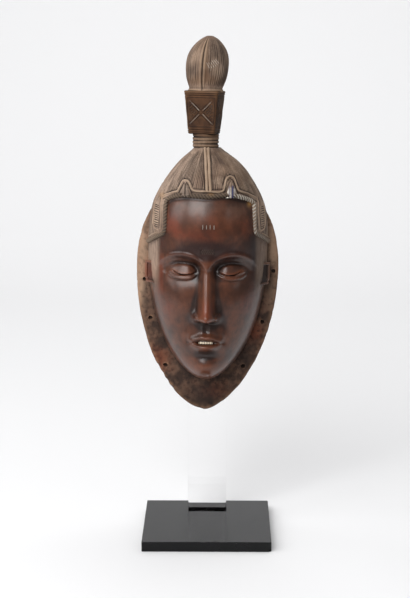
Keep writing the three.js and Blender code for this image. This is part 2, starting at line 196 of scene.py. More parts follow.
def head_skin(x, h):
    across = held(abs(x) / head_half(h))
    return head_deep(h) * (1 - across**HEAD_ROUND) ** (1 / HEAD_ROUND)


# A plain oval face by the usual thirds: hairline, brow, base of the nose, chin.
# ax is the distance from its middle line.

EYE_X, EYE_H, EYE_HALF, SLIT_HALF = 24.5, 149.0, 15.5, 11.0
BROW_X, BROW_H = 26.0, 167.2
NOSE_ROOT, NOSE_TIP, NOSE_BASE = 158.0, 106.0, 97.5
MOUTH_H, MOUTH_HALF, LIP_HALF, PARTED_HALF = 79.0, 18.5, 16.5, 13.5
SOCKET = [[11.5, 152, 5, 9, -3.0]]
PHILTRUM = [[18.5, MOUTH_H, 3, 4, -1.6], [0, 92, 2.3, 4, -0.9], [4, 91.5, 1.8, 4, 0.5]]
PLANES = [
    [0, 50, 15, 11, 5.0], [0, 64.5, 15, 5, -2.6], [34, 119, 15, 21, 3.6], [53, 168, 9, 20, -2.0],
    [0, 196, 34, 26, 2.2],
]


def brow_h(ax):
    return BROW_H - 0.0145 * (ax - BROW_X) ** 2 - 0.00022 * abs(ax - BROW_X) ** 3


def slit_h(ax):
    return 147.8 - 2.3 * (1 - ((ax - EYE_X) / SLIT_HALF) ** 2)


def eyes(ax, h):
    brow = brow_h(ax)
    orbit = -7.2 * bell(ax - 22, 19) * bell(h - 153, 14) * fall(h, brow - 4.5, brow + 1)
    edge = 1.2 * bell(h - brow - 1.2, 2.1) * span(ax, 2, 8, 42, 49)
    away = ((ax - EYE_X) / EYE_HALF) ** 2 + ((h - EYE_H) / (8.6 + 0.6 * np.sign(h - EYE_H))) ** 2
    ball = 6.2 * (np.maximum(1.03 - away, 0) + 0.03) ** 0.85 - 0.32
    crease = -1.1 * bell(np.sqrt(away) - 1.14, 0.2) * rise(h, EYE_H - 3, EYE_H + 2)
    above_slit = h - slit_h(ax)
    lids = 0.8 * bell(above_slit - 2.6, 1.7) + 0.6 * bell(above_slit + 2.8, 1.8) - 1.6 * bell(above_slit, 1.4)
    return orbit + mounds(SOCKET, ax, h) + edge + ball + crease + lids * fall(abs(ax - EYE_X), SLIT_HALF, 15)


def nose(ax, h):
    down = held((NOSE_ROOT - h) / (NOSE_ROOT - NOSE_TIP))
    bridge = (3.0 + 17.5 * down**1.12) * fall(h, NOSE_ROOT - 2, NOSE_ROOT + 14)
    half = 9.5 + 4.0 * down**2 + 2.5 * bell(h - NOSE_ROOT, 8)
    ridge = bridge * (0.5 + 0.5 * np.cos(np.pi * held(ax / half))) ** 0.85
    tip = ridge + 2.6 * bell(ax, 6.2) * bell(h - NOSE_TIP, 5)
    wing = 8.6 * bell(ax - 9.6, 4.3) * bell(h - NOSE_TIP + 1.5, 5.6)
    nostril = -2.2 * bell(ax - 5.4, 2.2) * bell(h - NOSE_BASE - 2.9, 1.8)
    whole = np.maximum(tip, wing) + 0.25 * np.minimum(tip, wing)
    return whole * rise(h, NOSE_BASE, NOSE_BASE + 6) + nostril


def parting_h(ax):
    return MOUTH_H - 0.3 - 0.002 * ax**2


def narrowing(ax, half):
    return np.maximum(1 - (ax / half) ** 2, 0) ** 0.8


def mouth(ax, h):
    muzzle = 6.0 * bell(ax, 25) * bell(h - MOUTH_H, 20)
    upper_h = MOUTH_H + 4.8 + 0.9 * bell(ax - 5, 3.5) - 0.012 * ax**2
    lower_h = MOUTH_H - 5.1 + 0.016 * ax**2
    between = h - parting_h(ax)
    upper = 4.3 * bell(h - upper_h, 3.2) * narrowing(ax, MOUTH_HALF)
    lower = 4.9 * bell(h - lower_h, 3.9) * narrowing(ax, LIP_HALF)
    parted = -4.8 * bell(between, 1.75) * narrowing(ax, PARTED_HALF)
    line = -1.2 * bell(between, 1.3) * span(ax, 10, 13, 17, 19.5)
    return muzzle + upper + lower + parted + line + mounds(PHILTRUM, ax, h)


def teeth(ax, h):
    """How far forward the teeth stand between the lips, where they are, and how white."""
    row = fall(abs(h - parting_h(ax) - 0.3), 0.95, 1.45) * fall(ax, 6.6, 7.4)
    gaps = bell((ax / 2.4) % 1 - 0.5, 0.16)
    return 6.0 * bell(ax, 25) - 0.0035 * ax**2 + 0.9 - 0.45 * gaps, row, row * (1 - 0.85 * gaps)


def planes(ax, h):
    fold = -1.6 * bell(ax - (17 + (104 - h) * 0.28), 5) * bell(h - 96, 11)
    return mounds(PLANES, ax, h) + fold


def face(x, h):
    ax = abs(x)
    carved = eyes(ax, h) + nose(ax, h) + mouth(ax, h) + planes(ax, h)
    proud, row, _ = teeth(ax, h)
    carved = np.where(row > 0.01, np.maximum(carved, proud * row + carved * (1 - row)), carved)
    return carved * fall(ax / head_half(h), 0.8, 0.97)


# The hair: a corded edge round the forehead, two tufts, thin raised lines outside it, a double crest.
# Paths are points of [x, h], and each tuft is its x, its foot's h and its height.

CORD = [
    [-60.5, 175.5], [-52, 182.5], [-43.4, 188.5], [-42.4, 204], [-41.6, 219], [-37.5, 222.8], [-24, 226],
    [-1, 225.3], [21, 227], [38, 222.6], [44, 218.4], [45.4, 204], [47, 190], [55.5, 183], [62.5, 176],
]
LINE = [
    [-47.5, 191], [-47, 206], [-46, 222.5], [-36, 227.8], [-31, 229.5], [-25.8, 239.2], [-22.6, 240.2],
    [-19.8, 238.4], [-15.5, 231.2], [-1, 230.4], [13.6, 231], [17.2, 242.4], [20.6, 244.8], [24.6, 242.6],
    [29.6, 231.4], [39, 227.6], [48.4, 221.5], [50, 206], [51.4, 192],
]
PANEL_LINES = [
    [[-53.6, 218], [-54.8, 208], [-55.2, 197], [-53.4, 191.2], [-49.6, 190.2]],
    [[54.6, 218], [56.2, 208], [56.8, 197], [55.6, 191.6], [52.6, 190.2]],
    [[-50.5, 187.6], [-55.5, 184.4], [-60.4, 180.2]],
    [[53.8, 187.8], [58.4, 184.4], [62.0, 180.6]],
]
TUFTS = [[-23.2, 225.0, 13.5], [22.4, 225.0, 16.5]]
TUFT_HALF = 6.0
CREST_X = (-2.8, 0.2)
CREST_SPREAD = 1.6
HAIR_PROUD = 1.8


def above(path, x, h):
    """How far a point is above or outside a path of [x, h] points."""
    px, ph = np.array(path, float).T
    i = np.clip(np.searchsorted(px, x), 1, len(px) - 1)
    slope = (ph[i] - ph[i - 1]) / (px[i] - px[i - 1])
    return (h - ph[i - 1] - slope * (x - px[i - 1])) / np.hypot(1, slope)


def on_head(x, h, proud):
    """Points over the head, or over the rim beside it."""
    fade = fall(abs(x) / head_half(h), 0.97, 1)
    w = head_skin(x, h) + face(x, h) + HAIR_PROUD * rise(above(CORD, x, h), -1, 1) * fade
    return np.stack([x + head_middle(h), h, np.maximum(w, RIM_FRONT_W) + proud], -1)


def crest_x(h):
    """The double crest's middle line, from the head's middle."""
    return CREST_X[1] + (CREST_X[0] - CREST_X[1]) * (h - 228) / 40 - head_middle(h)


def drawn(path, step):
    """A path of [x, h] points as a smooth run of points that far apart."""
    path = np.array(path, float)
    run = np.concatenate([[0], np.cumsum(np.hypot(*np.diff(path, axis=0).T))])
    at = np.linspace(0, run[-1], max(int(run[-1] / step) + 1, 3))
    return through(np.stack([run, path[:, 0]], 1))(at), through(np.stack([run, path[:, 1]], 1))(at)


# Bodies are closed shells in the mask's frame. Their marks tell the wood's finish what each place is.

body_numbers = itertools.count()


def write(mesh, name, values):
    if name not in mesh.attributes:
        mesh.attributes.new(name, "FLOAT", "POINT")
    values = np.ascontiguousarray(np.broadcast_to(values, len(mesh.vertices)), np.float32)
    mesh.attributes[name].data.foreach_set("value", values)


def stamp(mesh, **marks):
    """Numbers the faces by body and writes the marks; one that is neither given nor there yet is nought."""
    number = [next(body_numbers)] * len(mesh.polygons)
    mesh.attributes.new("body", "INT", "FACE").data.foreach_set("value", number)
    for name in MARKS:
        if name in marks or name not in mesh.attributes:
            write(mesh, name, marks.get(name, 0.0))


def fetched(items, what, width=1, kind=np.float32):
    values = np.empty(len(items) * width, kind)
    items.foreach_get(what, values)
    return values.reshape(-1, width).squeeze()


def read(mesh, what, width=1):
    if what == "co":
        values = fetched(mesh.vertices, what, width)
    elif what == "normal":
        values = fetched(mesh.vertex_normals, "vector", width)
    else:
        values = fetched(mesh.attributes[what].data, "value", width)
    return values.astype(float)


def meshed(name, points, edges, faces):
    """A mesh through (x, h, w) points."""
    mesh = bpy.data.meshes.new(name)
    mesh.from_pydata(points[:, [0, 2, 1]] * (1, -1, 1), edges, faces)
    return mesh


def placed(name, mesh):
    thing = bpy.data.objects.new(name, mesh)
    scene.collection.objects.link(thing)
    return thing


def lofted(name, rings, relief=None, **marks):
    """A closed body through rings of (x, h, w) points. Relief moves each point outwards."""
    rows, around = rings.shape[:2]
    points = np.concatenate([rings.reshape(-1, 3), rings[:1].mean(1), rings[-1:].mean(1)])
    index = np.arange(rows * around).reshape(rows, around)
    beside = np.roll(index, -1, 1)
    quads = np.stack([index[:-1], beside[:-1], beside[1:], index[1:]], -1).reshape(-1, 4)
    last = rows * around
    ends = np.concatenate([triples(last, beside[0], index[0]), triples(last + 1, index[-1], beside[-1])])
    corners = points[np.concatenate([quads[:, :3], quads[:, [0, 2, 3]], ends])]
    if np.einsum("ij,ij->", corners[:, 0], np.cross(corners[:, 1], corners[:, 2])) < 0:
        quads, ends = quads[:, ::-1], ends[:, ::-1]
    mesh = meshed(name, points, [], quads.tolist() + ends.tolist())

    def spread(values):
        values = np.broadcast_to(values, (rows, around))
        return np.concatenate([values.ravel(), [values[0].mean(), values[-1].mean()]])

    stamp(mesh, **{mark: spread(value) for mark, value in marks.items()})
    if relief is not None:
        moved = read(mesh, "co", 3) + read(mesh, "normal", 3) * spread(relief)[:, None]
        mesh.vertices.foreach_set("co", moved.ravel().astype(np.float32))
        mesh.update()
    return placed(name, mesh)


def plain(thing):
    """Makes what a thing's modifiers give its own mesh."""
    shown = thing.evaluated_get(bpy.context.evaluated_depsgraph_get())
    mesh = bpy.data.meshes.new_from_object(shown)
    thing.modifiers.clear()
    thing.data = mesh
    return thing


def combined(body, tools, operation="UNION"):
    for tool in tools:
        step = body.modifiers.new(tool.name, "BOOLEAN")
        step.operation, step.solver, step.object = operation, "MANIFOLD", tool
    plain(body)
    for tool in tools:
        bpy.data.objects.remove(tool)
    return body


# Node trees. Their sums are written on Value.


class Value:
    """A socket that can be used in sums."""

    def __init__(self, nodes, socket):
        self.nodes, self.socket = nodes, socket

    def math(self, operation, *terms, clamp=False):
        sockets = dict(zip(("Value", "Value_001", "Value_002"), terms))
        return self.nodes.node("ShaderNodeMath", {"operation": operation, "use_clamp": clamp}, **sockets)

    def __add__(self, other):
        return self.math("ADD", self, other)

    def __sub__(self, other):
        return self.math("SUBTRACT", self, other)

    def __rsub__(self, other):
        return self.math("SUBTRACT", other, self)

    def __mul__(self, other):
        return self.math("MULTIPLY", self, other)

    def __pow__(self, other):
        return self.math("POWER", self, other)

    __radd__, __rmul__ = __add__, __mul__

    def held(self):
        return self.math("ADD", self, 0.0, clamp=True)

    def over(self, low, high):
        """0 below low, 1 above high, and smooth between."""
        smooth = {"interpolation_type": "SMOOTHSTEP"}
        return self.nodes.node("ShaderNodeMapRange", smooth, Value=self, From_Min=low, From_Max=high)


class Nodes:
    """A node tree under construction."""

    def __init__(self, tree):
        self.tree = tree

    def node(self, kind, settings=None, out=0, **sockets):
        made = self.tree.nodes.new(kind)
        for name, value in (settings or {}).items():
            setattr(made, name, value)
        for name, value in sockets.items():
            socket = next(s for s in made.inputs if s.identifier.replace(" ", "_") == name)
            if isinstance(value, Value):
                self.tree.links.new(value.socket, socket)
            else:
                socket.default_value = value
        return Value(self, made.outputs[out]) if made.outputs else None


SOCKET_KINDS = {"Lobes": "Int", "Sides": "Int", "Points": "Int", "Material": "Material"}


class Sweep(Nodes):
    """A Geometry Nodes tree that sweeps a ring along the paths it is given."""

    def __init__(self, name, wood, inputs):
        super().__init__(bpy.data.node_groups.new(name, "GeometryNodeTree"))
        self.wood, self.sockets = wood, {}
        new_socket = self.tree.interface.new_socket
        for way in ("INPUT", "OUTPUT"):
            new_socket("Geometry", in_out=way, socket_type="NodeSocketGeometry")
        for label in [*inputs.split(), "Material"]:
            kind = f"NodeSocket{SOCKET_KINDS.get(label, 'Float')}"
            self.sockets[label] = new_socket(label, in_out="INPUT", socket_type=kind).identifier
        given = self.tree.nodes.new("NodeGroupInput").outputs
        self.given = {socket.name: Value(self, socket) for socket in given}

    def path(self, mode, **spacing):
        """The paths with their points spaced anew, and how far along its path each point is."""
        path = self.node("GeometryNodeMeshToCurve", Mesh=self.given["Geometry"])
        path = self.node("GeometryNodeResampleCurve", {"mode": mode}, Curve=path, **spacing)
        return path, self.node("GeometryNodeSplineParameter")

    def finish(self, path, ring, **scale):
        swept = self.node("GeometryNodeCurveToMesh", Curve=path, Profile_Curve=ring, Fill_Caps=True, **scale)
        real = self.node("GeometryNodeRealizeInstances", Geometry=swept)
        dressed = self.node("GeometryNodeSetMaterial", Geometry=real, Material=self.given["Material"])
        self.tree.links.new(dressed.socket, self.tree.nodes.new("NodeGroupOutput").inputs[0])
        return self


LOBE_SIDES = 6


def twisted_cord(wood):
    """Sweeps a lobed section along a path and twists it, as a rope is laid."""
    tree = Sweep("twisted_cord", wood, "Radius Lobes Depth Turns Step")
    given = tree.given
    path, along = tree.path("LENGTH", Length=given["Step"])
    path = tree.node("GeometryNodeSetCurveTilt", Curve=path, Tilt=along * given["Turns"] * (2 * math.pi))
    sides = given["Lobes"] * float(LOBE_SIDES)
    ring = tree.node("GeometryNodeCurvePrimitiveCircle", Resolution=sides, Radius=1.0)
    turn = tree.node("GeometryNodeInputIndex") * (2 * math.pi / LOBE_SIDES)
    valley = 0.5 - turn.math("COSINE", turn) * 0.5
    size = given["Radius"] - valley**1.6 * given["Depth"]
    place = tree.node("GeometryNodeInputPosition")
    place = tree.node("ShaderNodeVectorMath", {"operation": "SCALE"}, Vector=place, Scale=size)
    ring = tree.node("GeometryNodeSetPosition", Geometry=ring, Position=place)
    kept = {"domain": "POINT", "data_type": "FLOAT"}
    ring = tree.node("GeometryNodeStoreNamedAttribute", kept, Geometry=ring, Name="groove", Value=valley)
    return tree.finish(path, ring)


def swept_strokes(wood):
    """Sweeps a round section along paths, thinner towards their ends."""
    tree = Sweep("swept_strokes", wood, "Radius Sides Points End")
    given = tree.given
    path, along = tree.path("COUNT", Count=given["Points"])
    ends = along * 2.0 - 1.0
    thin = ends.math("ABSOLUTE", ends) ** 4.0 * (1.0 - given["End"])
    path = tree.node("GeometryNodeSetCurveRadius", Curve=path, Radius=1.0 - thin)
    ring = tree.node("GeometryNodeCurvePrimitiveCircle", Resolution=given["Sides"], Radius=given["Radius"])
    return tree.finish(path, ring, Scale=tree.node("GeometryNodeInputRadius"))


def swept(name, tree, paths, sizes, **marks):
    """What a tree makes in its sizes along paths of (x, h, w) points."""
    ends = np.cumsum([len(path) for path in paths]).tolist()
    edges = [(i, i + 1) for i in range(ends[-1] - 1) if i + 1 not in ends]
    thing = placed(name, meshed(name, np.concatenate(paths), edges, []))
    grow = thing.modifiers.new(name, "NODES")
    grow.node_group = tree.tree
    for label, value in {**sizes, "Material": tree.wood}.items():
        grow[tree.sockets[label]] = value
    plain(thing)
    stamp(thing.data, **marks)
    return thing


# The mask's bodies.

FACE_COLUMNS, STRANDS = 193, 80


def banded(start, *bands):
    """Heights from start, in bands of (up to, count)."""
    ends = [start] + [to for to, _ in bands]
    runs = [np.linspace(a, b, n, endpoint=False) for a, (b, n) in zip(ends, bands)]
    return np.concatenate(runs + [ends[-1:]])[:, None]


def across(half, turns):
    return half * np.sign(turns) * abs(np.sin(turns)) ** (2 / HEAD_ROUND)


def painted_shade_under(h):
    """How much painted shade the lower side of the cord and line gets: full across the forehead, less down
    its sides.
    """
    return 0.25 + 0.75 * rise(h, 214, 220)


def over_head(x, h, w, least):
    """Rings over the head, whose ends lie on its back and whose middles stand clear of it."""
    back = head_back(h)
    w[:, [0, -1]] = back
    w[:, 1:-1] = np.maximum(w[:, 1:-1], back + least)
    return triples(x + head_middle(h), h, w)


def face_body():
    low = (46, 14), (70, 18), (90, 32), (112, 24), (138, 18)
    h = banded(34.3, *low, (161, 40), (174, 14), (214, 15), (227, 13), (236, 2))
    a = np.linspace(-1, 1, FACE_COLUMNS)[None]
    turns = np.pi / 2 * (0.72 * a + 0.28 * a**3)
    x = across(head_half(h), turns)
    over = above(CORD, x, h)
    tuck = 2.5 * rise(over, 1.5, 4.5)
    # Just below the cord the face sinks in a crease, which also gets painted shade.
    shaded_crease = bell(over + 3.3, 1.1) * painted_shade_under(h)
    w = head_skin(x, h) + face(x, h) - tuck - 0.5 * shaded_crease
    x = x * (1 - tuck / head_half(h))
    rings = over_head(x, h, w, 0.5)
    _, row, white = teeth(abs(x), h)
    side = 0.75 * rise(abs(x), 46, 51) * rise(h, 120, 150)
    facets = 0.10 * lumps(rings, 9, 3) + 0.05 * lumps(rings, 4, 4)
    facets *= fall(abs(turns), 1.3, 1.5) * (1 - row)
    return lofted("face", rings, facets, polish=1 - side, hair=side, tooth=white, groove=0.9 * shaded_crease)


def scored(column, beside, between):
    """Lines cut between strands of four columns each: 1 in a line, and what the columns in between give."""
    return np.where(column % 4 == 0, 1.0, np.where(column % 4 == 2, between, beside))


def tuft_outlines(x, h):
    """Dark lines round the tufts."""
    dark = 0
    for at, foot, high in TUFTS:
        v = held((h - foot) / high)
        edge = TUFT_HALF * (1 - v**1.5) + 0.9
        dark = dark + 0.8 * bell(abs(x - at) - edge, 0.9) * rise(above(CORD, x, h), 0, 1) * fall(v, 0.97, 1)
    return dark


def hair_body():
    h = banded(170, (186, 8), (216, 19), (234, 25), (262, 22), (CROWN_H, 9))
    column = np.arange(4 * STRANDS + 1)[None]
    turns = np.pi * (column / (4 * STRANDS) - 0.5)
    wander = lumps(triples(column / 5, h / 11, 0), 1, 5)
    turns = turns + 0.006 * wander * np.cos(turns)
    half = head_half(h)
    x = across(half, turns)
    over = above(CORD, x, h)
    fade = fall(abs(x) / half, 0.97, 1)
    w = head_skin(x, h) - 3 + (3 + HAIR_PROUD * fade) * rise(over, -1.5, 0.7)
    x = x * (1 - 2 * fall(over, -4, -1.5) / half)
    rings = over_head(x, h, w, 0.4)

    strand = triples(column // 4 * 0.9, h / 16, 0)
    broken = held(0.75 + 1.2 * lumps(strand, 1, 6))
    lock = triples(column / 13, h / 26 + 7, 0)
    shade = lumps(lock, 1, 9) + 0.5 * lumps(3 * lock, 1, 10)
    # lit is a painted highlight along each strand's crown, broken here and there, with paler streaks; it goes
    # into the ridge mark.
    lit = held(0.25 + 1.1 * lumps(strand + 40, 1, 8)) * (column % 4 == 2) + 0.5 * held(-shade)
    panel = span(abs(x), 46, 47.5, 54.5, 56) * span(h, 188, 190, 216, 220)
    beside = above(LINE, x, h)
    combed = rise(beside, 0.8, 2.4) * (1 - panel) * fall(h, 266, 270)
    ends = 1 - rise(h, 221, 225) * rise(abs(x), 46, 47.5)
    trench = bell(abs(beside) - 1.75, 0.6) * rise(h, 190, 194) * ends
    beside_crest = bell(abs(x - crest_x(h)) - CREST_SPREAD - 1.9, 0.6) * rise(h, 231, 233)
    groove = scored(column, 0.2, -0.12) * broken * combed
    relief = -0.5 * groove - 0.5 * trench - 0.35 * beside_crest + 0.12 * lumps(rings, 7, 7)
    groove = held(groove) + 0.55 * held(shade) * combed + 0.7 * beside_crest
    # The trench beside the line is dark, more so on the line's inner side: painted shade in a real cut.
    groove = groove + trench * np.where(beside < 0, 1.0, 0.8) + tuft_outlines(x, h)

    top, middle = rings[-1:], rings[-1:].mean(1, keepdims=True)
    crown = [top + (middle - top) * shrink + (0, lift, 0) for shrink, lift in ((0.05, 0.45), (0.16, 0.75))]
    rings = np.concatenate([rings, *crown])
    marks = relief, groove, lit * combed
    relief, groove, lit = (np.concatenate([v, 0 * v[-1:], 0 * v[-1:]]) for v in marks)
    return lofted("hair", rings, relief, hair=1, groove=held(groove), ridge=held(lit))


def head_cord(tree):
    sizes = dict(Radius=2.7, Lobes=3, Depth=0.7, Turns=27.0, Step=0.66)
    return swept("cord", tree, [on_head(*drawn(CORD, 1.2), -0.45)], sizes, hair=1, cord=1, ridge=0.4)


def ribs(tree):
    """The thin raised lines and the double crest."""
    made = []
    for k, path in enumerate([LINE] + PANEL_LINES):
        radius, count, sunk = (0.85, 24, 0.2) if k else (1.0, 150, 0.25)
        sizes = dict(Radius=radius, Sides=8, Points=count, End=0.55)
        made.append(swept(f"line_{k}", tree, [on_head(*drawn(path, 1.0), -sunk)], sizes, hair=1, ridge=0.3))
    x, _, h = read(made[0].data, "co", 3).T
    # The raised line's lower side gets painted shade.
    write(made[0].data, "groove", 0.8 * fall(above(LINE, x, h), -0.9, 0.1) * painted_shade_under(h))
    sizes = dict(Radius=1.5, Sides=12, Points=44, End=0.9)
    for side in (-1, 1):
        h = np.linspace(229.8, 271.6, 50)
        x = crest_x(h) + side * CREST_SPREAD + 0.12 * np.sin(h / 3.1 + side)
        path = on_head(x, h, -0.5 - rise(h, 268.5, 272))
        made.append(swept(f"crest_{side}", tree, [path], sizes, hair=1, ridge=0.75))
    return made


def tuft(at, foot, high, split):
    """A small raised flame of hair on the cord, with a slit up its middle; the right one is painted."""
    v = np.linspace(0, 1, 26)[:, None]
    u = np.linspace(-1, 1, 29)[None]
    h = foot - 0.6 + high * v + 0 * u
    half = TUFT_HALF * (1 - v**1.5) * (1 - 0.18 * bell(v - 0.45, 0.25)) + 0.35
    x = at + half * u
    crown = (1 - abs(u) ** 3) * (0.6 + 0.4 * (1 - v)) * 2.9 * rise(v, -0.25, 0.12)
    slit = bell(u * half, 0.65) * span(v, 0.08, 0.3, 0.9, 1)
    front = on_head(x, h, crown - 1.3 * slit * split)
    rings = np.concatenate([front, on_head(x, h, -2.5)[:, ::-1]], 1)
    low = fall(v, 0.5, 0.66)
    if at < 0:
        marks = dict(paint=0.05 * (1 - slit) * fall(v, 0.75, 0.95), blue=0, groove=0.35 + 0.65 * slit)
    else:
        stripe = held(bell(u * half - 1.0, 1.15) + 0.8 * bell(u * half + 2.4, 0.5)) * fall(v, 0.62, 0.8)
        flaked = held(0.62 + 0.5 * lumps(front, 1.6, 51))
        marks = dict(paint=low * (1 - stripe) * flaked, blue=stripe, groove=0.35 * slit * (1 - stripe))
    blank = 0 * u + 0 * v
    marks = {name: np.concatenate([value + blank, blank], 1) for name, value in marks.items()}
    return lofted("tuft", rings, None, hair=1, **marks)


# The rim's outline, narrowing differently on its two sides. Each nick is its h, how deep, how far it reaches.
RIM_WIDEST_H, RIM_TOP_H, RIM_HALF = 148.0, 243.0, 73.0
RIM_TAPER = {1: (1.95, 0.635), -1: (1.95, 0.575)}
rim_side = through([
    [RIM_WIDEST_H, RIM_HALF], [161, 72.6], [177, 70.4], [194, 65.8], [204, 61],
    [212, 56.5], [222, 49], [232, 38], [240, 24], [RIM_TOP_H, 6],
])
RIM_NICKS = [[45, 0.8, 2.4], [37, 1.2, 3], [29.5, 1.4, 2.6], [22, 0.9, 2]]


def rim_half(h, side):
    low = RIM_HALF * taper(h / RIM_WIDEST_H, *RIM_TAPER[side])
    full = np.where(h > RIM_WIDEST_H, rim_side(h), low)
    ragged_patch = sum(deep * bell(h - at, reach) for at, deep, reach in RIM_NICKS)
    return full - (ragged_patch if side < 0 else 0)


def rim_body():
    """The flat rim. Its section's points are how far forward and how far in from the outline."""
    h = RIM_TOP_H * (1 - np.cos(np.pi * np.linspace(0, 1, 400))) / 2
    right = np.stack([rim_half(h, 1), h], 1)[1:-1]
    left = np.stack([-rim_half(h, -1), h], 1)[1:-1][::-1]
    outline = np.concatenate([right, [[0, RIM_TOP_H]], left, [[0, 0]]])
    closed = np.concatenate([outline, outline[:1]])
    run = np.concatenate([[0], np.cumsum(np.hypot(*np.diff(closed, axis=0).T))])
    at = np.linspace(0, run[-1], 421)[:-1]
    outline = np.stack([np.interp(at, run, closed[:, 0]), np.interp(at, run, closed[:, 1])], 1)
    section = np.array([
        [0, 40], [0, 29], [0, 20], [0, 12], [0, 3], [0, 0.6], [1, 0.15], [2.2, 0.02], [3.6, 0.12],
        [5, 0.4], [6.1, 1.2], [7, 2.6], [7.6, 4.4], [8.1, 6.2], [8.6, 8.2], [9.0, 10.3], [9.3, 12.6],
        [9.5, 15], [9.5, 17.4], [9.5, 20], [9.5, 23], [9.5, 26.5], [9.5, 31], [9.5, 37],
    ])
    w, inset = section.T[:, :, None]
    out = outline - (0, RIM_TOP_H / 2)
    spread = np.arange(-24, 25)
    weight = bell(spread, 11) / bell(spread, 11).sum()
    rounder = sum(k * np.roll(out, n, axis=0) for k, n in zip(weight, spread))
    soft = rise(inset, 2, 16)[..., None]
    out = out * (1 - soft) + rounder * soft
    share = 1 - inset / np.linalg.norm(out, axis=-1)
    x, h = out[..., 0] * share, RIM_TOP_H / 2 + out[..., 1] * share
    rings = triples(x, h, w)
    pits = held(lumps(rings, 3.2, 11)) ** 1.5
    rough = -0.45 * (lumps(rings, 8, 12) * 0.5 + 0.5) - 0.55 * pits
    rough = rough - 0.14 * (lumps(rings, 1.9, 13) * 0.5 + 0.5)
    edge = bell(inset - 0.4, 1.6) * held(lumps(rings, 4.5, 14) - 0.1) * rise(w, 1, 3)
    relief = (rough - 0.9 * edge) * rise(w, 0.2, 1.5)
    return lofted("rim", rings, relief, rough=1, groove=0.8 * pits)


# The topknot is carved with the mask and turned a little to the left: a ringed neck, a tapered box, a bun.

KNOT_TURN, KNOT_X, KNOT_W = math.radians(-13), -4.2, 20.0
NECK_RADIUS, NECK_RINGS_H = 12.1, (273.4, 277.0, 280.6, 284.0)
BOX_LOW, BOX_HIGH, BOX_SHIFT = 285.2, 328.0, -1.9
BOX_HALF = (13.4, 17.2)
EGG_LOW, EGG_DEEP = 327.0, 0.95
egg_radius = through([
    [327, 17.4], [330, 16.6], [334, 18], [341, 20.2], [351, 21.4], [358, 21.2], [364, 19.9], [370, 17],
    [375, 13], [379, 8.6], [381.2, 5.0], [382, 3.0], [382.4, 1.0],
])
egg_drift = through([[327, -1.2], [351, 0], [370, 1.2], [382.4, 2.4]])


def in_knot(x, h, w):
    """Points of the topknot, from places about its own middle."""
    c, s = math.cos(KNOT_TURN), math.sin(KNOT_TURN)
    return triples(KNOT_X + x * c + w * s, h, KNOT_W + w * c - x * s)


def quarter(k, x, y):
    """A place on one side of a square, turned to its side k."""
    c, s = [(1, 0), (0, 1), (-1, 0), (0, -1)][k]
    return x * c + y * s, y * c - x * s


def on_bun(turn, h, radius):
    return in_knot(egg_drift(h) + radius * np.sin(turn), h, EGG_DEEP * radius * np.cos(turn))


def neck_body():
    h = np.concatenate([[262, 266], np.linspace(268, 287, 40), [289]])[:, None]
    turns = turns_round(64)[None]
    radius = NECK_RADIUS + 3.2 * rise(272.2 - h, 0, 8) ** 1.3
    for k, at in enumerate(NECK_RINGS_H):
        tipped = at + 0.35 * np.sin(turns + 1.3 * k)
        radius = radius + 1.15 * held(1 - ((h - tipped) / 1.75) ** 2) ** 0.6
    rings = in_knot(radius * np.cos(turns), h, radius * np.sin(turns))
    ridge = rise(radius, 12.6, 13.2) * rise(h, 271, 273)
    ringed = rise(h, 270, 272) + 0 * radius
    browner = 0.4 * rise(h, 279.5, 284)
    marks = dict(knot=ringed, hair=1 - (0.5 + browner) * ringed, ridge=(0.6 - browner) * ridge)
    return lofted("neck", rings, 0.16 * lumps(rings, 3.5, 21), groove=(1 - ridge) * ringed, **marks)


def box_half(h):
    return BOX_HALF[0] + (BOX_HALF[1] - BOX_HALF[0]) * (h - BOX_LOW) / (BOX_HIGH - BOX_LOW)


# How far the box's bands stand out: height above its foot, then how far.
BOX_PROUD = [
    [0, -1.0], [0.4, -0.2], [1.0, 0.1], [1.6, 0.1], [2.0, -0.3], [2.4, 0.15], [3.6, 0.15], [4.1, -0.35],
    [4.6, 0.1], [37.6, 0.1], [38.1, -0.35], [38.6, 0.25], [39.8, 0.3], [40.2, -0.2], [40.6, 0.35],
    [41.8, 0.35], [42.4, 0.1], [42.8, -0.6],
]


def box_body():
    bands = np.array(BOX_PROUD)
    middle = np.linspace(6.5, 36, 18)
    h = np.concatenate([bands[:9, 0], middle, bands[9:, 0]])[:, None]
    out = np.interp(h, bands[:, 0], bands[:, 1])
    h = h + BOX_LOW
    half = box_half(h) + out
    flat, corner = np.linspace(-1, 1, 13)[:-1], 1.6
    side = np.concatenate([flat, [1.0]])
    x = np.concatenate([(half - corner) * side[None], half - corner + corner * 0.68], 1)
    y = np.concatenate([half + 0 * side[None], half - corner * 0.32], 1)
    plan = np.concatenate([np.stack(quarter(k, x, y), -1) for k in range(4)], 1)
    rings = in_knot(plan[..., 0] + BOX_SHIFT, h, plan[..., 1])
    relief = 0.16 * lumps(rings, 8, 22) + 0.08 * lumps(rings, 3, 23)
    return lofted("box", rings, relief, knot=1, ridge=0.6 * rise(out, 0.25, 0.4), groove=fall(out, -0.2, 0))


BUN_STRANDS = 54


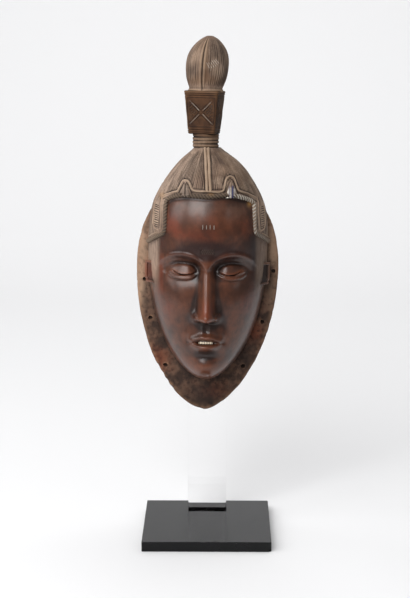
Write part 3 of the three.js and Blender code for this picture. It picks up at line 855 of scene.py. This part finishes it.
def bun_body():
    column = np.arange(4 * BUN_STRANDS)[None]
    turn = 2 * np.pi * column / (4 * BUN_STRANDS) - np.pi
    h = np.concatenate([
        np.linspace(EGG_LOW, 332, 9)[:-1], np.linspace(332, 366, 19)[:-1], np.linspace(366, 380, 13)[:-1],
        [379.9, 380.9, 381.6, 381.98, 382.14],
    ])[:, None]
    r = egg_radius(h)
    size = held(r / 12)
    ridge = held(np.cos(np.clip((abs(turn) - 0.087) / 0.1, -1, 1) * np.pi / 2)) ** 1.2
    lip = 0.9 * bell(h - 328.4, 1.2) * (1 + 0.2 * np.sin(3 * turn + 0.5))
    at = triples(column / 4, h / 10, 0)
    broken = held(0.7 + 1.0 * lumps(at, 1, 24))
    shade = lumps(triples(column / 11, h / 15, 0), 1, 27)
    combed = rise(abs(turn), 0.2, 0.28) * span(h, 331, 335, 376, 381)
    groove = scored(column, 0.12, -0.1) * broken * combed
    seam = bell(turn, 0.035) * size
    ridge = ridge * rise(h, 328.6, 333)
    r = r + 1.3 * ridge * size + lip
    rings = on_bun(turn, h, r)
    relief = -0.38 * groove + 0.14 * lumps(rings, 6, 25)
    groove = held(groove) + 0.65 * held(shade) * combed + seam + 0.3 * bell(h - 330.4, 0.9)
    bright = ridge * size * (0.4 + 0.6 * rise(h, 340, 364)) + bell(h - 328.4, 1.3)
    bright = bright + 0.5 * held(-shade) * combed
    return lofted("bun", rings, relief, knot=1, hair=0.8, ridge=held(bright), groove=held(groove))


# The ears are squared brackets, open towards the face.

EAR_AT = (53.0, 21.5, 145.5)
EAR_TURN = math.radians(40)


def bar(size, middle, slant=0.0):
    """A squared bar with soft edges in an ear's frame: u out from the face, v up, t forward."""
    ends = np.array([0, 0.02, 0.1, 0.5, 0.9, 0.98, 1]) * 2 - 1
    shrink = np.array([0.80, 0.93, 1, 1, 1, 0.93, 0.80])
    angle = turns_round(24)
    a, b = (np.sign(f(angle)) * abs(f(angle)) ** 0.32 for f in (np.cos, np.sin))
    u = ends[:, None] * size[0] / 2 + 0 * a
    v = shrink[:, None] * a * size[1] / 2 + u * math.tan(slant)
    t = shrink[:, None] * b * size[2] / 2
    return np.stack([u + middle[0], v + middle[1], t + middle[2]], -1)


def ear(side):
    stock = bar((14.4, 22.6, 13.4), (0, 0, -0.6))
    upper = bar((15, 2.8, 7.2), (0, 10.2, 3.6))
    lower = bar((13.2, 2.6, 7.2), (-0.9, -9.8, 3.6), 0.07)
    outer = bar((2.7, 18.0, 7.2), (6.2, 1.6, 3.6))
    lobe = bar((2.8, 6.0, 6.8), (5.2, -7.8, 3.4), 0.5)
    c, s = math.cos(EAR_TURN), math.sin(EAR_TURN)
    made = []
    for k, part in enumerate((stock, upper, lower, outer, lobe)):
        u, v, t = np.moveaxis(part, -1, 0)
        x = EAR_AT[0] + u * c + t * s
        w = EAR_AT[1] - u * s + t * c
        rings = np.stack([side * x, EAR_AT[2] + v, w], -1)
        made.append(lofted(f"ear_{k}", rings, 0.08 * lumps(rings, 3, 31), polish=0.85, hair=0.1))
    return combined(made[0], made[1:])


# What is cut away: the hollow, the lacing holes, the slits under the lids, the knife strokes.


def hollow():
    t = np.linspace(0, 1, 46)
    h = 44 + 206 * (0.35 * t + 0.65 * np.where(t < 0.5, 2 * t * t, 1 - 2 * (1 - t) ** 2))[:, None]
    blunt = taper((h - 42) / 24, 2.2, 0.5)
    a = np.linspace(-1, 1, 41)[None]
    turns = np.pi / 2 * (0.6 * a + 0.4 * a**3)
    half, deep = (head_half(h) - 10) * blunt, (head_deep(h) - 12) * blunt
    x = half * np.sin(turns) + head_middle(h)
    w = deep * np.clip(np.cos(turns), 0, None) ** (2 / HEAD_ROUND)
    front = triples(x, h, w)
    edges = [triples(head_middle(h) + k * half, h, -5.0) for k in (-1, 1)]
    rings = np.concatenate([edges[0], front, edges[1]], 1)
    tooled = 0.25 + 0.25 * lumps(rings, 7, 41)
    tooled *= rise(rings[..., 2], 1, 4) * fall(rings[..., 1], 236, 244)
    return lofted("hollow", rings, tooled, rough=1, inside=1)


def lace_hole(x, h, seed):
    turns = turns_round(18)[None]
    w = np.array([-4, 0, 2, 5, 7, 9, 10, 14])[:, None]
    radius = 1.85 + 0.9 * rise(w, 5, 10.5) + 0.3 * rise(1.5 - w, 0, 2)
    radius = radius + 0.2 * np.sin(2 * turns + seed) + 0.12 * np.sin(3 * turns + 2 * seed)
    lifted = h + radius * np.sin(turns) + 0.55 * (RIM_FRONT_W - w)
    rings = triples(x + radius * np.cos(turns), lifted, w)
    # The hole's walls are dark: painted shade.
    return lofted("lace_hole", rings, None, rough=1, inside=0.8, groove=1)


def eye_slit(side):
    t = np.linspace(-1, 1, 33)
    upper = np.stack([SLIT_HALF * t, -1.2 * (1 - t**2)], 1)
    lower = np.stack([SLIT_HALF * t, -3.4 * (1 - t**2)], 1)[::-1][1:-1]
    outline = np.concatenate([upper, lower])
    w = np.array([18, 40, 60, 90])[:, None]
    lifted = EYE_H - 1.2 + outline[:, 1] + 0.42 * (66 - w)
    rings = triples(side * EYE_X + outline[:, 0], lifted, w)
    # The slit's walls are dark: painted shade.
    return lofted("eye_slit", rings, None, polish=1, groove=1)


LACE_HOLES = [[-64, 135], [-57.6, 95], [-41.4, 46], [67.4, 145.5], [57.4, 93], [38.6, 46.6]]
STROKES_H, STROKES_X = (193.6, 198.6), (-5.2, -1.6, 2.0, 5.8)
PATCH_H = 171.2
HATCHED_X, HATCHED_H = {-1: (48.2, 54.2), 1: (51.6, 56.0)}, np.arange(192.6, 215.5, 2.1)
SCRATCHES, SCRATCH_H, SCRATCH_TURN = 6, 352.0, 0.27
BOX_MIDDLE_H, BOX_FLAT, BOX_LEVELS = 306.6, 12.4, (292.2, 321.0)
CROSS_LINES, CROSS_REACH, CROSS_UP, NET_UP = 6, 16.6, 11.8, 8.6
DARK_APART, NET_APART = 1.5, 2.1
DIAGONAL = 0.7071  # how far a slanting step of one goes across and up


def on_box(turn, a, h):
    x, y = quarter(turn, a, box_half(h) + 0.12)
    return in_knot(x + BOX_SHIFT, h, y)


def box_diagonals(slant):
    """The box's crossed lines that lean one way: pale middle ones, dark ones beside them, and the net."""
    pale, dark, net = [], [], []
    for k in range(4):
        for step in range(-CROSS_LINES, CROSS_LINES + 1):
            shift = math.copysign(DARK_APART + NET_APART * (abs(step) - 1), step) if step else 0.0
            along = np.linspace(-CROSS_REACH, CROSS_REACH, 67)
            a, up = (along + shift) * DIAGONAL, (along - shift) * DIAGONAL
            keep = (abs(a) < BOX_FLAT - 0.6) & (abs(up) < CROSS_UP)
            if abs(step) > 1:
                keep &= (abs(a) > abs(up) + 1.2) & (abs(up) < NET_UP)
            kept = np.flatnonzero(keep)
            crossed = step == 0 and slant > 0
            for run in [kept[along[kept] < -0.6], kept[along[kept] > 0.6]] if crossed else [kept]:
                if len(run) > 3:
                    at = run[np.linspace(0, len(run) - 1, 5).round().astype(int)]
                    group = pale if step == 0 else dark if abs(step) == 1 else net
                    group.append(on_box(k, slant * a[at], BOX_MIDDLE_H + up[at]))
    return pale, dark, net


def knife_strokes(tree):
    """Families of strokes that don't cross within a family, as tools to cut with."""
    strokes = []

    def family(paths, radius, points, **marks):
        sizes = dict(Radius=radius, Sides=5, Points=points, End=0.35)
        strokes.append(swept(f"strokes_{len(strokes)}", tree, paths, sizes, **marks))

    hatch = []
    for side, (inner, outer) in HATCHED_X.items():
        for k, h in enumerate(HATCHED_H):
            x = side * np.linspace(inner, outer + 0.5, 5)
            hatch.append(on_head(x, h + 0.3 * math.sin(5 * k) + 0.1 * abs(x - x[0]), 0.1))
    family(hatch, 0.5, 6, hair=1, groove=1)

    low, high = STROKES_H
    marks = [on_head(np.full(5, x), np.linspace(low, high - 0.4 * (k % 2), 5), 0.05)
             for k, x in enumerate(STROKES_X)]
    family(marks, 0.45, 6, polish=0.5, paint=0.3)
    for slant in (-1, 1):
        patch = [on_head(x + slant * np.linspace(-1.7, 1.7, 5), PATCH_H + np.linspace(-3, 3, 5), 0.1)
                 for x in range(-6, 7, 2)]
        family(patch, 0.42, 6, polish=0.5, groove=1)

    scratches = []
    for k in range(SCRATCHES):
        h = np.linspace(-4.4, 4.4, 7) * (1 - 0.08 * k) + SCRATCH_H + 0.9 * k
        turn = SCRATCH_TURN + 0.085 * k - np.linspace(-0.13, 0.13, 7)
        scratches.append(on_bun(turn, h, egg_radius(h) + 0.1))
    family(scratches, 0.36, 7, knot=1, hair=0.8, paint=0.45)

    level = [on_box(k, np.linspace(-BOX_FLAT - 1.6, BOX_FLAT + 1.6, 7), np.full(7, h))
             for k in range(4) for h in BOX_LEVELS]
    family(level, 0.42, 7, knot=1, groove=1)
    upright = [on_box(k, np.linspace(a, 1.14 * a, 7), np.linspace(293, 320.4, 7))
               for k in range(4) for a in (-BOX_FLAT - 0.1, BOX_FLAT + 0.1)]
    family(upright, 0.38, 7, knot=1, groove=0.8)
    for slant, white, chalk in ((-1, 0.42, 0.06), (1, 0.3, 0)):
        pale, dark, net = box_diagonals(slant)
        family(pale, 0.33, 6, knot=1, paint=white)
        family(dark, 0.44, 6, knot=1, groove=1)
        family(net, 0.42, 4, knot=1, groove=0.9, paint=chalk)
    return strokes


# Each vertex's marks are settled once the bodies are one. Then come the wear and the painted shade that the
# whole shape brings.

SETTLE_PASSES, ALIKE_PASSES = 60, 40
NEAR_DEPTH, FAR_DEPTH, FAR_PASSES = 0.35, 2.2, 70


def edge_ends(mesh):
    return fetched(mesh.edges, "vertices", 2, np.int32).T


def neighbours(mesh):
    """A function that gives the mean of values over each vertex's neighbours."""
    a, b = edge_ends(mesh)
    count = len(mesh.vertices)
    many = np.maximum(np.bincount(a, minlength=count) + np.bincount(b, minlength=count), 1)

    def mean(values):
        columns = values.reshape(count, -1).T
        total = [(np.bincount(a, c[b], count) + np.bincount(b, c[a], count)) / many for c in columns]
        return np.stack(total, -1).reshape(values.shape)

    return mean


def owners(mesh):
    """Which vertices lie where bodies meet, and each vertex's body, the coarser one where two meet."""
    body = fetched(mesh.attributes["body"].data, "value", 1, np.int32)
    area, sides = fetched(mesh.polygons, "area"), fetched(mesh.polygons, "loop_total", 1, np.int32)
    coarse = np.argsort(np.argsort(np.bincount(body, area) / np.maximum(np.bincount(body), 1)))
    corner, owner = fetched(mesh.loops, "vertex_index", 1, np.int32), np.repeat(coarse[body], sides)
    low, high = np.full(len(mesh.vertices), len(coarse)), np.zeros(len(mesh.vertices), int)
    np.minimum.at(low, corner, owner)
    np.maximum.at(high, corner, owner)
    return low < high, high


def settle_marks(mesh):
    """Vertices along joins take their marks from their coarser body; a stroke's marks stay inside it."""
    (missing, owner), (a, b) = owners(mesh), edge_ends(mesh)
    count = len(mesh.vertices)
    marks = np.stack([read(mesh, name) * (~missing if name in STROKE_MARKS else 1) for name in MARKS])
    inner = [name not in STROKE_MARKS for name in MARKS]
    for step in range(SETTLE_PASSES):
        alike = (owner[a] == owner[b]) | (step > ALIKE_PASSES)
        total, known = np.zeros((len(MARKS), count)), np.zeros(count)
        for here, there in ((a, b), (b, a)):
            told = (alike & ~missing[there]).astype(float)
            known += np.bincount(here, told, count)
            total += [np.bincount(here, told * values[there], count) for values in marks]
        ready = missing & (known > 0)
        for k in np.flatnonzero(inner):
            marks[k][ready] = total[k][ready] / known[ready]
        missing = missing & ~ready
        if not missing.any():
            break
    for name, values in zip(MARKS, marks):
        write(mesh, name, values)


def without_crumbs(body):
    """Takes away the loose specks that the cuts leave, so that the carving is one shell."""
    shell = bmesh.new()
    shell.from_mesh(body.data)
    top = max(shell.verts, key=lambda v: v.co.z)
    kept, front = {top}, [top]
    while front:
        for edge in front.pop().link_edges:
            for end in edge.verts:
                if end not in kept:
                    kept.add(end)
                    front.append(end)
    bmesh.ops.delete(shell, geom=[v for v in shell.verts if v not in kept], context="VERTS")
    shell.to_mesh(body.data)
    shell.free()
    return body


def mask_mesh(wood):
    cord, stroke = twisted_cord(wood), swept_strokes(wood)
    body = face_body()
    added = [hair_body(), rim_body(), head_cord(cord), *ribs(stroke)]
    added += [tuft(at, foot, high, 1.0 if at < 0 else 0.7) for at, foot, high in TUFTS]
    combined(body, added + [neck_body(), box_body(), bun_body(), ear(-1), ear(1)])
    cut = [hollow()] + [lace_hole(x, h, k) for k, (x, h) in enumerate(LACE_HOLES)]
    cut += [eye_slit(-1), eye_slit(1)] + knife_strokes(stroke)
    return without_crumbs(combined(body, cut, "DIFFERENCE"))


# Patches of colour: ochre spots, reddened patina, painted sheen (dull), dark patina with painted shade
# (deep), and pale wear with painted light on the left (pale); each is x, h, how wide, how high, how much.
PATINA_AND_PAINTED_LIGHT = {
    "ochre": [[40.5, 218, 2.2, 2.6, 1.0], [-47, 224, 3, 3, 0.4], [2, 228, 3, 1.5, 0.3]],
    "red": [
        [-34, 200, 9, 15, 0.6], [-47, 150, 5, 26, 0.6], [-8, 188, 26, 9, 0.6], [36, 196, 9, 11, 0.35],
        [1, 112, 6, 14, 0.8], [42, 117, 9, 16, 0.6], [-38, 112, 8, 14, 0.4], [-60, 146, 7, 11, 1.2],
        [3, 208, 10, 9, 0.3], [-50, 52, 12, 16, 0.6], [50, 84, 8, 12, 0.6], [10, 20, 16, 9, 0.4],
        [-4, 336, 24, 7, 1.0], [-5, 352, 4, 22, 0.7], [16, 250, 12, 12, 0.5], [14, 352, 5, 12, 0.5],
    ],
    "dull": [
        [-14, 214, 22, 8, 0.8], [28, 212, 14, 10, 0.7], [0, 50, 24, 14, 0.4], [-32, 82, 15, 20, 0.3],
        [32, 82, 16, 20, 0.4], [-24, 130, 14, 8, 0.3],
    ],
    "deep": [
        [0, 172, 34, 10, 1.2], [50, 158, 9, 24, 0.8], [-50, 176, 7, 9, 0.4], [60, 146, 7, 11, 0.9],
        [44, 182, 10, 9, 0.5], [-14, 104, 7, 13, 0.6], [16, 102, 7, 15, 0.7], [0, 62, 12, 6, 0.6],
        [20, 165, 20, 6, 0.5], [-24, 168, 16, 5, 0.4], [42, 118, 12, 22, 0.35], [36, 80, 14, 22, 0.3],
        [0, 14, 30, 14, 0.7], [44, 56, 10, 12, 0.6], [41, 45, 4, 5, 1.2], [-8, 226, 34, 3, 0.9],
        [0, 48, 16, 9, 0.5], [-17, 350, 5, 9, 0.6], [6, 366, 8, 8, 0.7], [36, 240, 8, 16, 0.4],
    ],
    "pale": [
        [-55, 160, 6, 24, 1.3], [54, 158, 5, 22, 0.5], [-51, 205, 5, 18, 0.7], [54, 205, 5, 18, 0.9],
        [-70, 175, 7, 34, 1.3], [-71, 128, 6, 24, 1.2], [68, 178, 7, 24, 1.4], [68, 128, 6, 24, 0.4],
        [-46, 228, 12, 16, 0.9], [-30, 246, 14, 14, 1.1], [-18, 364, 6, 10, 0.7], [-14, 260, 10, 9, 0.9],
        [12, 352, 8, 15, 1.0], [14, 306, 4, 18, 0.9], [46, 204, 4, 20, 1.4], [-3, 331, 22, 4, 0.8],
    ],
}


def weathering(mesh):
    """Marks how hollow or proud each place is, close to and from afar, for painted shade in hollows and wear
    on proud places.
    """
    settle_marks(mesh)
    mean = neighbours(mesh)
    co, normal = read(mesh, "co", 3), read(mesh, "normal", 3)
    away = mean(co) - co
    near = np.einsum("ij,ij->i", away, normal) / NEAR_DEPTH * (1 - held(read(mesh, "inside")))
    for _ in range(3):
        near = 0.4 * near + 0.6 * mean(near)
    smooth = co
    for _ in range(FAR_PASSES):
        smooth = mean(smooth)
    far = np.einsum("ij,ij->i", smooth - co, normal) / FAR_DEPTH
    for _ in range(6):
        far = mean(far)
    x, w, h = co.T
    found = {"near": near, "far": far}
    found.update({name: mounds(patches, x, h) for name, patches in PATINA_AND_PAINTED_LIGHT.items()})
    for name, values in found.items():
        write(mesh, name, np.clip(values, -1, 1))
    # Pale paint flakes off the cord's right side, with a trace on its left, and its lower side gets painted
    # shade.
    cord, groove = read(mesh, "cord"), read(mesh, "groove")
    flaked = 0.6 * rise(x, 25, 29) * (0.6 + 0.4 * rise(h, 200, 216)) + 0.03 * rise(-x, 39, 43)
    painted = read(mesh, "paint") + cord * rise(groove, 0.5, 0.85) * flaked
    write(mesh, "paint", held(painted))
    write(mesh, "groove", held(groove + 0.85 * cord * fall(above(CORD, x, h), -1.4, 0.9) * painted_shade_under(h)))


# Finishes, as node materials.


class Finish(Nodes):
    """A material under construction."""

    def __init__(self, name):
        self.material = bpy.data.materials.new(name)
        self.material.use_nodes = True
        super().__init__(self.material.node_tree)
        self.tree.nodes.clear()
        self.place = self.node("ShaderNodeTexCoord", out="Object")

    def mark(self, name):
        return self.node("ShaderNodeAttribute", {"attribute_name": name}, out="Fac")

    def noise(self, size, detail=2.0, stretch=(1, 1, 1), rough=0.5, offset=0.0):
        """Noise from 0 to 1 with lumps of about that many millimetres, longer where stretch is larger."""
        scale, move = [1 / (size * MM * s) for s in stretch], (offset, offset, offset)
        where = self.node("ShaderNodeMapping", Vector=self.place, Scale=scale, Location=move)
        return self.node("ShaderNodeTexNoise", Vector=where, Scale=1.0, Detail=detail, Roughness=rough)

    def mix(self, factor, first, second):
        mixer = {"data_type": "RGBA", "blend_type": "MIX"}
        tones = dict(A_Color=colour(first), B_Color=colour(second))
        return self.node("ShaderNodeMix", mixer, out=2, Factor_Float=factor, **tones)

    def layered(self, base, *coats):
        """Tones laid one over another, each by its factor."""
        for factor, tone in coats:
            base = self.mix(factor, base, tone)
        return base

    def bump(self, height, distance, strength=1.0, **under):
        return self.node("ShaderNodeBump", Height=height, Distance=distance * MM, Strength=strength, **under)

    def shade(self, **sockets):
        shader = self.node("ShaderNodeBsdfPrincipled", **sockets)
        self.node("ShaderNodeOutputMaterial", Surface=shader)
        return self.material


def colour(value):
    """A colour by its sRGB numbers from 0 to 255, as the shader wants it."""
    if isinstance(value, Value):
        return value
    shares = [v / 255 for v in value]
    return tuple(v / 12.92 if v <= 0.04045 else ((v + 0.055) / 1.055) ** 2.4 for v in shares) + (1.0,)


def carved_wood():
    f = Finish("carved_wood")
    polish, hair, rough, knot, ridge, groove, cord, paint, blue, tooth, inside = map(f.mark, MARKS)
    near, far, ochre, reddened, painted_sheen, dark_patina_and_shade, pale = map(f.mark, ("near", "far", *PATINA_AND_PAINTED_LIGHT))
    broad, patch, spot = f.noise(38, 2), f.noise(13, 3, offset=3.0), f.noise(4, 3, offset=7.0)
    fleck = f.noise(1.1, 2, offset=11.0)
    grain = f.noise(1.0, 3, (1, 1, 14), 0.6)
    # Small hollows get painted shade; small ridges are paler with wear.
    shaded_dips, peaks = near.over(0.05, 0.5), (0 - near).over(0.05, 0.55)
    uneven = (patch * 0.6 + broad * 0.4).over(0.36, 0.66)
    ragged = (patch * 0.5 + spot * 0.3 + grain * 0.2 - 0.5) * 1.6

    def ragged_patch(mark, low, high, much):
        """A patch with a ragged edge."""
        return (mark + ragged).over(low, high) * much

    oiled = f.layered(
        f.mix(uneven, (56, 31, 20), (92, 51, 32)),
        (ragged_patch(reddened, 0.1, 1.0, 0.8), (108, 42, 20)),
        # Greyish painted sheen on the upper forehead, under the left eye, on the lower cheeks and chin.
        (ragged_patch(painted_sheen, 0.1, 1.0, 0.75), (96, 72, 60)),
        # Dark patina, with painted shade between the brows, beside the nose, under the cord and in the chin
        # pit.
        (ragged_patch(dark_patina_and_shade, 0.1, 0.9, 0.92), (34, 10, 6)),
        ((spot * 0.6 + grain * 0.4).over(0.45, 0.72) * 0.35, (38, 21, 14)),
        # Broad hollows of the face get painted shade; broad proud places are rubbed lighter.
        (far.over(0.02, 0.6) * (0.8 - reddened * 0.4), (20, 10, 8)),
        ((0 - far).over(0.25, 0.95) * 0.3, (132, 72, 42)),
        # Dark cut lines, with painted shade under the cord and in the eye slits.
        (groove * 0.9, (20, 12, 9)),
    )
    dusty = f.layered(
        f.mix(patch.over(0.35, 0.68), (112, 90, 76), (152, 130, 112)),
        (ragged_patch(reddened, 0.1, 1.0, 0.55), (124, 88, 60)),
        (ragged_patch(dark_patina_and_shade, 0.1, 1.0, 0.55), (74, 64, 58)),
        # Pale worn patches, with painted light on the left of the hair dome and temple.
        (pale.held() * 0.7, (184, 160, 142)),
        (grain.over(0.42, 0.72) * 0.6, (88, 68, 54)),
        # Proud lines are paler; on the hair's strands this is painted highlight.
        (ridge * 0.5, (170, 144, 118)),
        ((cord * (0.95 - pale * 0.6)).held(), (62, 43, 32)),
        ((cord * dark_patina_and_shade).held() * 0.8, (32, 21, 15)),
        # Dark cut lines, with painted shade in small hollows and under the cord and line.
        ((groove + shaded_dips * 0.7).held() * 0.95, (30, 21, 17)),
        (peaks * (0.6 - cord * 0.42), (184, 160, 136)),
    )
    plank = f.layered(
        f.mix(patch.over(0.4, 0.62), (52, 36, 28), (92, 68, 54)),
        (ragged_patch(reddened, 0.0, 0.6, 0.7), (108, 54, 32)),
        (pale.held() * 0.8, (168, 138, 114)),
        (ragged_patch(dark_patina_and_shade, 0.0, 0.8, 0.7), (32, 20, 16)),
        ((spot.over(0.5, 0.7) * (0.6 - pale * 0.42)).held(), (32, 22, 18)),
        # Dark cut lines and pits, with painted shade in small hollows.
        ((groove * 0.6 + shaded_dips * 0.6).held(), (24, 15, 12)),
        (peaks * 0.5, (150, 114, 88)),
    )
    boxed = f.layered(
        f.mix(patch.over(0.4, 0.68), (52, 30, 16), (78, 50, 29)),
        (pale.held() * 0.5, (128, 104, 86)),
        (ridge * 0.6, (138, 106, 78)),
        # Dark cut lines, with painted shade in small hollows.
        ((groove * 0.9 + shaded_dips * 0.5).held(), (20, 11, 6)),
        (peaks * 0.3, (124, 90, 62)),
    )
    base = f.layered(
        f.mix(polish.held(), dusty, oiled),
        (rough.held(), plank),
        ((knot - hair).held(), boxed),
        (ochre.held() * 0.7, (176, 128, 70)),
        # The inside of the hollow and of the lace holes is darker: painted shade.
        (inside.held() * 0.8, (40, 27, 20)),
        ((paint * (0.7 + spot * 0.6)).held(), (232, 226, 214)),
        (blue.held(), (32, 40, 84)),
        (tooth.over(0.3, 0.8), (214, 200, 176)),
    )
    gloss = 0.32 + patch * 0.16 + fleck * 0.06
    dull = 0.66 + spot * 0.2
    sheen = polish * (1 - groove * 0.5)
    skin = f.bump(grain, 0.10, 0.5)
    return f.shade(
        Base_Color=base, Roughness=dull + (gloss - dull) * sheen.held(),
        Normal=f.bump(fleck * (1.15 - polish), 0.28, 0.7, Normal=skin), IOR=1.5, Specular_IOR_Level=0.28,
        Coat_Weight=(polish * (0.5 - groove * 0.3)).held(), Coat_Roughness=0.25,
    )


def black_lacquer():
    f = Finish("black_metal")
    haze, fleck = f.noise(30, 3), f.noise(0.6, 2, offset=5.0)
    base = f.mix(haze.over(0.4, 0.7) * 0.5, (14, 14, 15), (22, 22, 24))
    return f.shade(
        Base_Color=base, Roughness=0.19 + haze * 0.08 + fleck * 0.04, Normal=f.bump(fleck, 0.02, 0.4),
        IOR=1.5, Specular_IOR_Level=0.2,
    )


def clear_block():
    f = Finish("clear_acrylic")
    return f.shade(Base_Color=(1, 1, 1, 1), Roughness=0.0, IOR=1.49, Transmission_Weight=1.0)


def paper(name, tone):
    return Finish(name).shade(Base_Color=colour(tone), Roughness=0.9)


# The stand: a square foot with soft edges and a chipped corner, and a clear block let into it.

FOOT_SIDE, FOOT_THICK = 130.0, 10.3
SLOT_DEPTH, SLOT_PLAY = 8.0, 0.35
UPRIGHT_WIDE, UPRIGHT_DEEP, UPRIGHT_FRONT, UPRIGHT_TOP = 40.0, 20.0, 29.0, 372.3
UPRIGHT_Y = UPRIGHT_FRONT + UPRIGHT_DEEP / 2


def rounded_oblong(wide, deep, corner, count=6):
    """Points round an oblong with rounded corners."""
    turn = np.linspace(0, np.pi / 2, count)
    points = []
    for k in range(4):
        cx, cy = [(1, 1), (-1, 1), (-1, -1), (1, -1)][k]
        x = cx * (wide / 2 - corner) + corner * np.cos(turn + k * np.pi / 2)
        y = cy * (deep / 2 - corner) + corner * np.sin(turn + k * np.pi / 2)
        points.append(np.stack([x, y], 1))
    return np.concatenate(points)


def block(name, wide, deep, low, high, corner, edge, middle_y):
    """A block with rounded edges, as rings of (x, h, w); w is -y here."""
    ease = 0.3 * edge
    rings = []
    for z, inset in (
        (low, edge), (low + ease, ease), (low + edge, 0), (high - edge, 0), (high - ease, ease), (high, edge),
    ):
        plan = rounded_oblong(wide - 2 * inset, deep - 2 * inset, corner)
        rings.append(triples(plan[:, 0], z, -(plan[:, 1] + middle_y)))
    return lofted(name, np.array(rings))


def stand_foot():
    plate = block("stand_foot_plate", FOOT_SIDE, FOOT_SIDE, 0, FOOT_THICK, 0.8, 0.45, 0)
    wide, deep = UPRIGHT_WIDE + 2 * SLOT_PLAY, UPRIGHT_DEEP + 2 * SLOT_PLAY
    slot = block("slot", wide, deep, FOOT_THICK - SLOT_DEPTH, FOOT_THICK + 5, 0.7, 0.2, UPRIGHT_Y)
    turn = turns_round(14)
    corner_x, corner_y = FOOT_SIDE / 2 + 0.5, -FOOT_SIDE / 2 - 0.5
    chip = []
    for at, radius in ((-4.6, 0.4), (-3.4, 1.9), (-1.8, 2.9), (0, 3.3), (2.4, 2.6), (4.2, 0.5)):
        wave = radius * (1 + 0.16 * np.sin(3 * turn + at) + 0.1 * np.sin(5 * turn))
        x = corner_x + at * DIAGONAL + wave * np.cos(turn) * DIAGONAL
        y = corner_y + at * DIAGONAL - wave * np.cos(turn) * DIAGONAL
        chip.append(triples(x, 0.4 + wave * np.sin(turn), -y))
    return combined(plate, [slot, lofted("chip", np.array(chip))], "DIFFERENCE")


def stand_upright():
    low = FOOT_THICK - SLOT_DEPTH + SLOT_PLAY
    return block("stand_upright_block", UPRIGHT_WIDE, UPRIGHT_DEEP, low, UPRIGHT_TOP, 0.6, 0.35, UPRIGHT_Y)


def delivered(thing, name, node, material, placing=SCALED, sharp=8):
    """Puts a finished piece in the row's frame, dresses and names it, hangs it under the root and hides the
    part it replaces.
    """
    mesh = thing.data
    mesh.transform(placing)
    mesh.shade_smooth()
    mesh.set_sharp_from_angle(angle=math.radians(sharp))
    mesh.materials.clear()
    mesh.materials.append(material)
    thing.name = mesh.name = name
    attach(thing, "root")
    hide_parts(node)


wood = carved_wood()
carving = mask_mesh(wood)
weathering(carving.data)
delivered(carving, "mask_carving", "mask", wood, HUNG, 40)
delivered(stand_foot(), "stand_foot_plate", "stand_foot", black_lacquer())
delivered(stand_upright(), "stand_upright_block", "stand_upright", clear_block())

# A pale sweep of paper for floor and backdrop, laid on a darker floor, and soft lights.

PAPER_HALF, PAPER_FRONT, SWEEP_START, SWEEP_ROUND, SWEEP_TOP = 0.95, -0.55, 1.2, 0.9, 2.6
FLOOR_HALF, FLOOR_DROP = 3.2, 0.002
turn = np.linspace(0, np.pi / 2, 17)
sweep = [(PAPER_FRONT, 0.0)]
sweep += [(SWEEP_START + SWEEP_ROUND * math.sin(a), SWEEP_ROUND * (1 - math.cos(a))) for a in turn]
sweep.append((SWEEP_START + SWEEP_ROUND, SWEEP_TOP))
ground = [(side * PAPER_HALF, y, z) for y, z in sweep for side in (-1, 1)]
faces = [(i, i + 1, i + 3, i + 2) for i in range(0, len(ground) - 2, 2)]
faces.append(tuple(len(ground) + i for i in (0, 1, 3, 2)))
ground += [(x * FLOOR_HALF, y * FLOOR_HALF, -FLOOR_DROP) for y in (-1, 1) for x in (-1, 1)]
paper_sweep = bpy.data.meshes.new("paper_sweep")
paper_sweep.from_pydata(ground, [], faces)
paper_sweep.shade_smooth()
paper_sweep.materials.append(paper("pale_paper", (238, 238, 239)))
paper_sweep.materials.append(paper("studio_floor", (96, 96, 98)))
paper_sweep.polygons[len(faces) - 1].material_index = 1
placed("paper_sweep", paper_sweep)

# Each light's name, place, aim, power in watts and size in metres.
LIGHTS = [
    ("window", (-0.85, -1.75, 1.6), (0, 0, 0.3), 54.0, 1.6),
    ("side", (-1.6, -0.5, 0.9), (0, 0, 0.3), 9.5, 0.9),
    ("glow", (1.25, -1.15, 0.75), (0, 0, 0.3), 0.7, 0.35),
    ("floor", (0.3, 0.9, 2.3), (0.3, 0.9, 0), 19.5, 1.6),
    ("backdrop_left", (-1.6, 0.9, 1.6), (-0.3, 2.1, 0.9), 5.2, 1.0),
    ("backdrop_right", (1.6, 1.0, 1.6), (0.3, 2.1, 0.9), 4.0, 1.0),
]
for name, place, aim, power, size in LIGHTS:
    lamp = bpy.data.lights.new(name, "AREA")
    lamp.energy, lamp.size = power, size
    aimed(lamp, place, Vector(aim) - Vector(place))
room = bpy.data.worlds.new("room")
room.use_nodes = True
air = room.node_tree.nodes["Background"].inputs
air["Color"].default_value, air["Strength"].default_value = (1, 1, 1, 1), 0.2
scene.world = room
scene.view_settings.view_transform = "Standard"
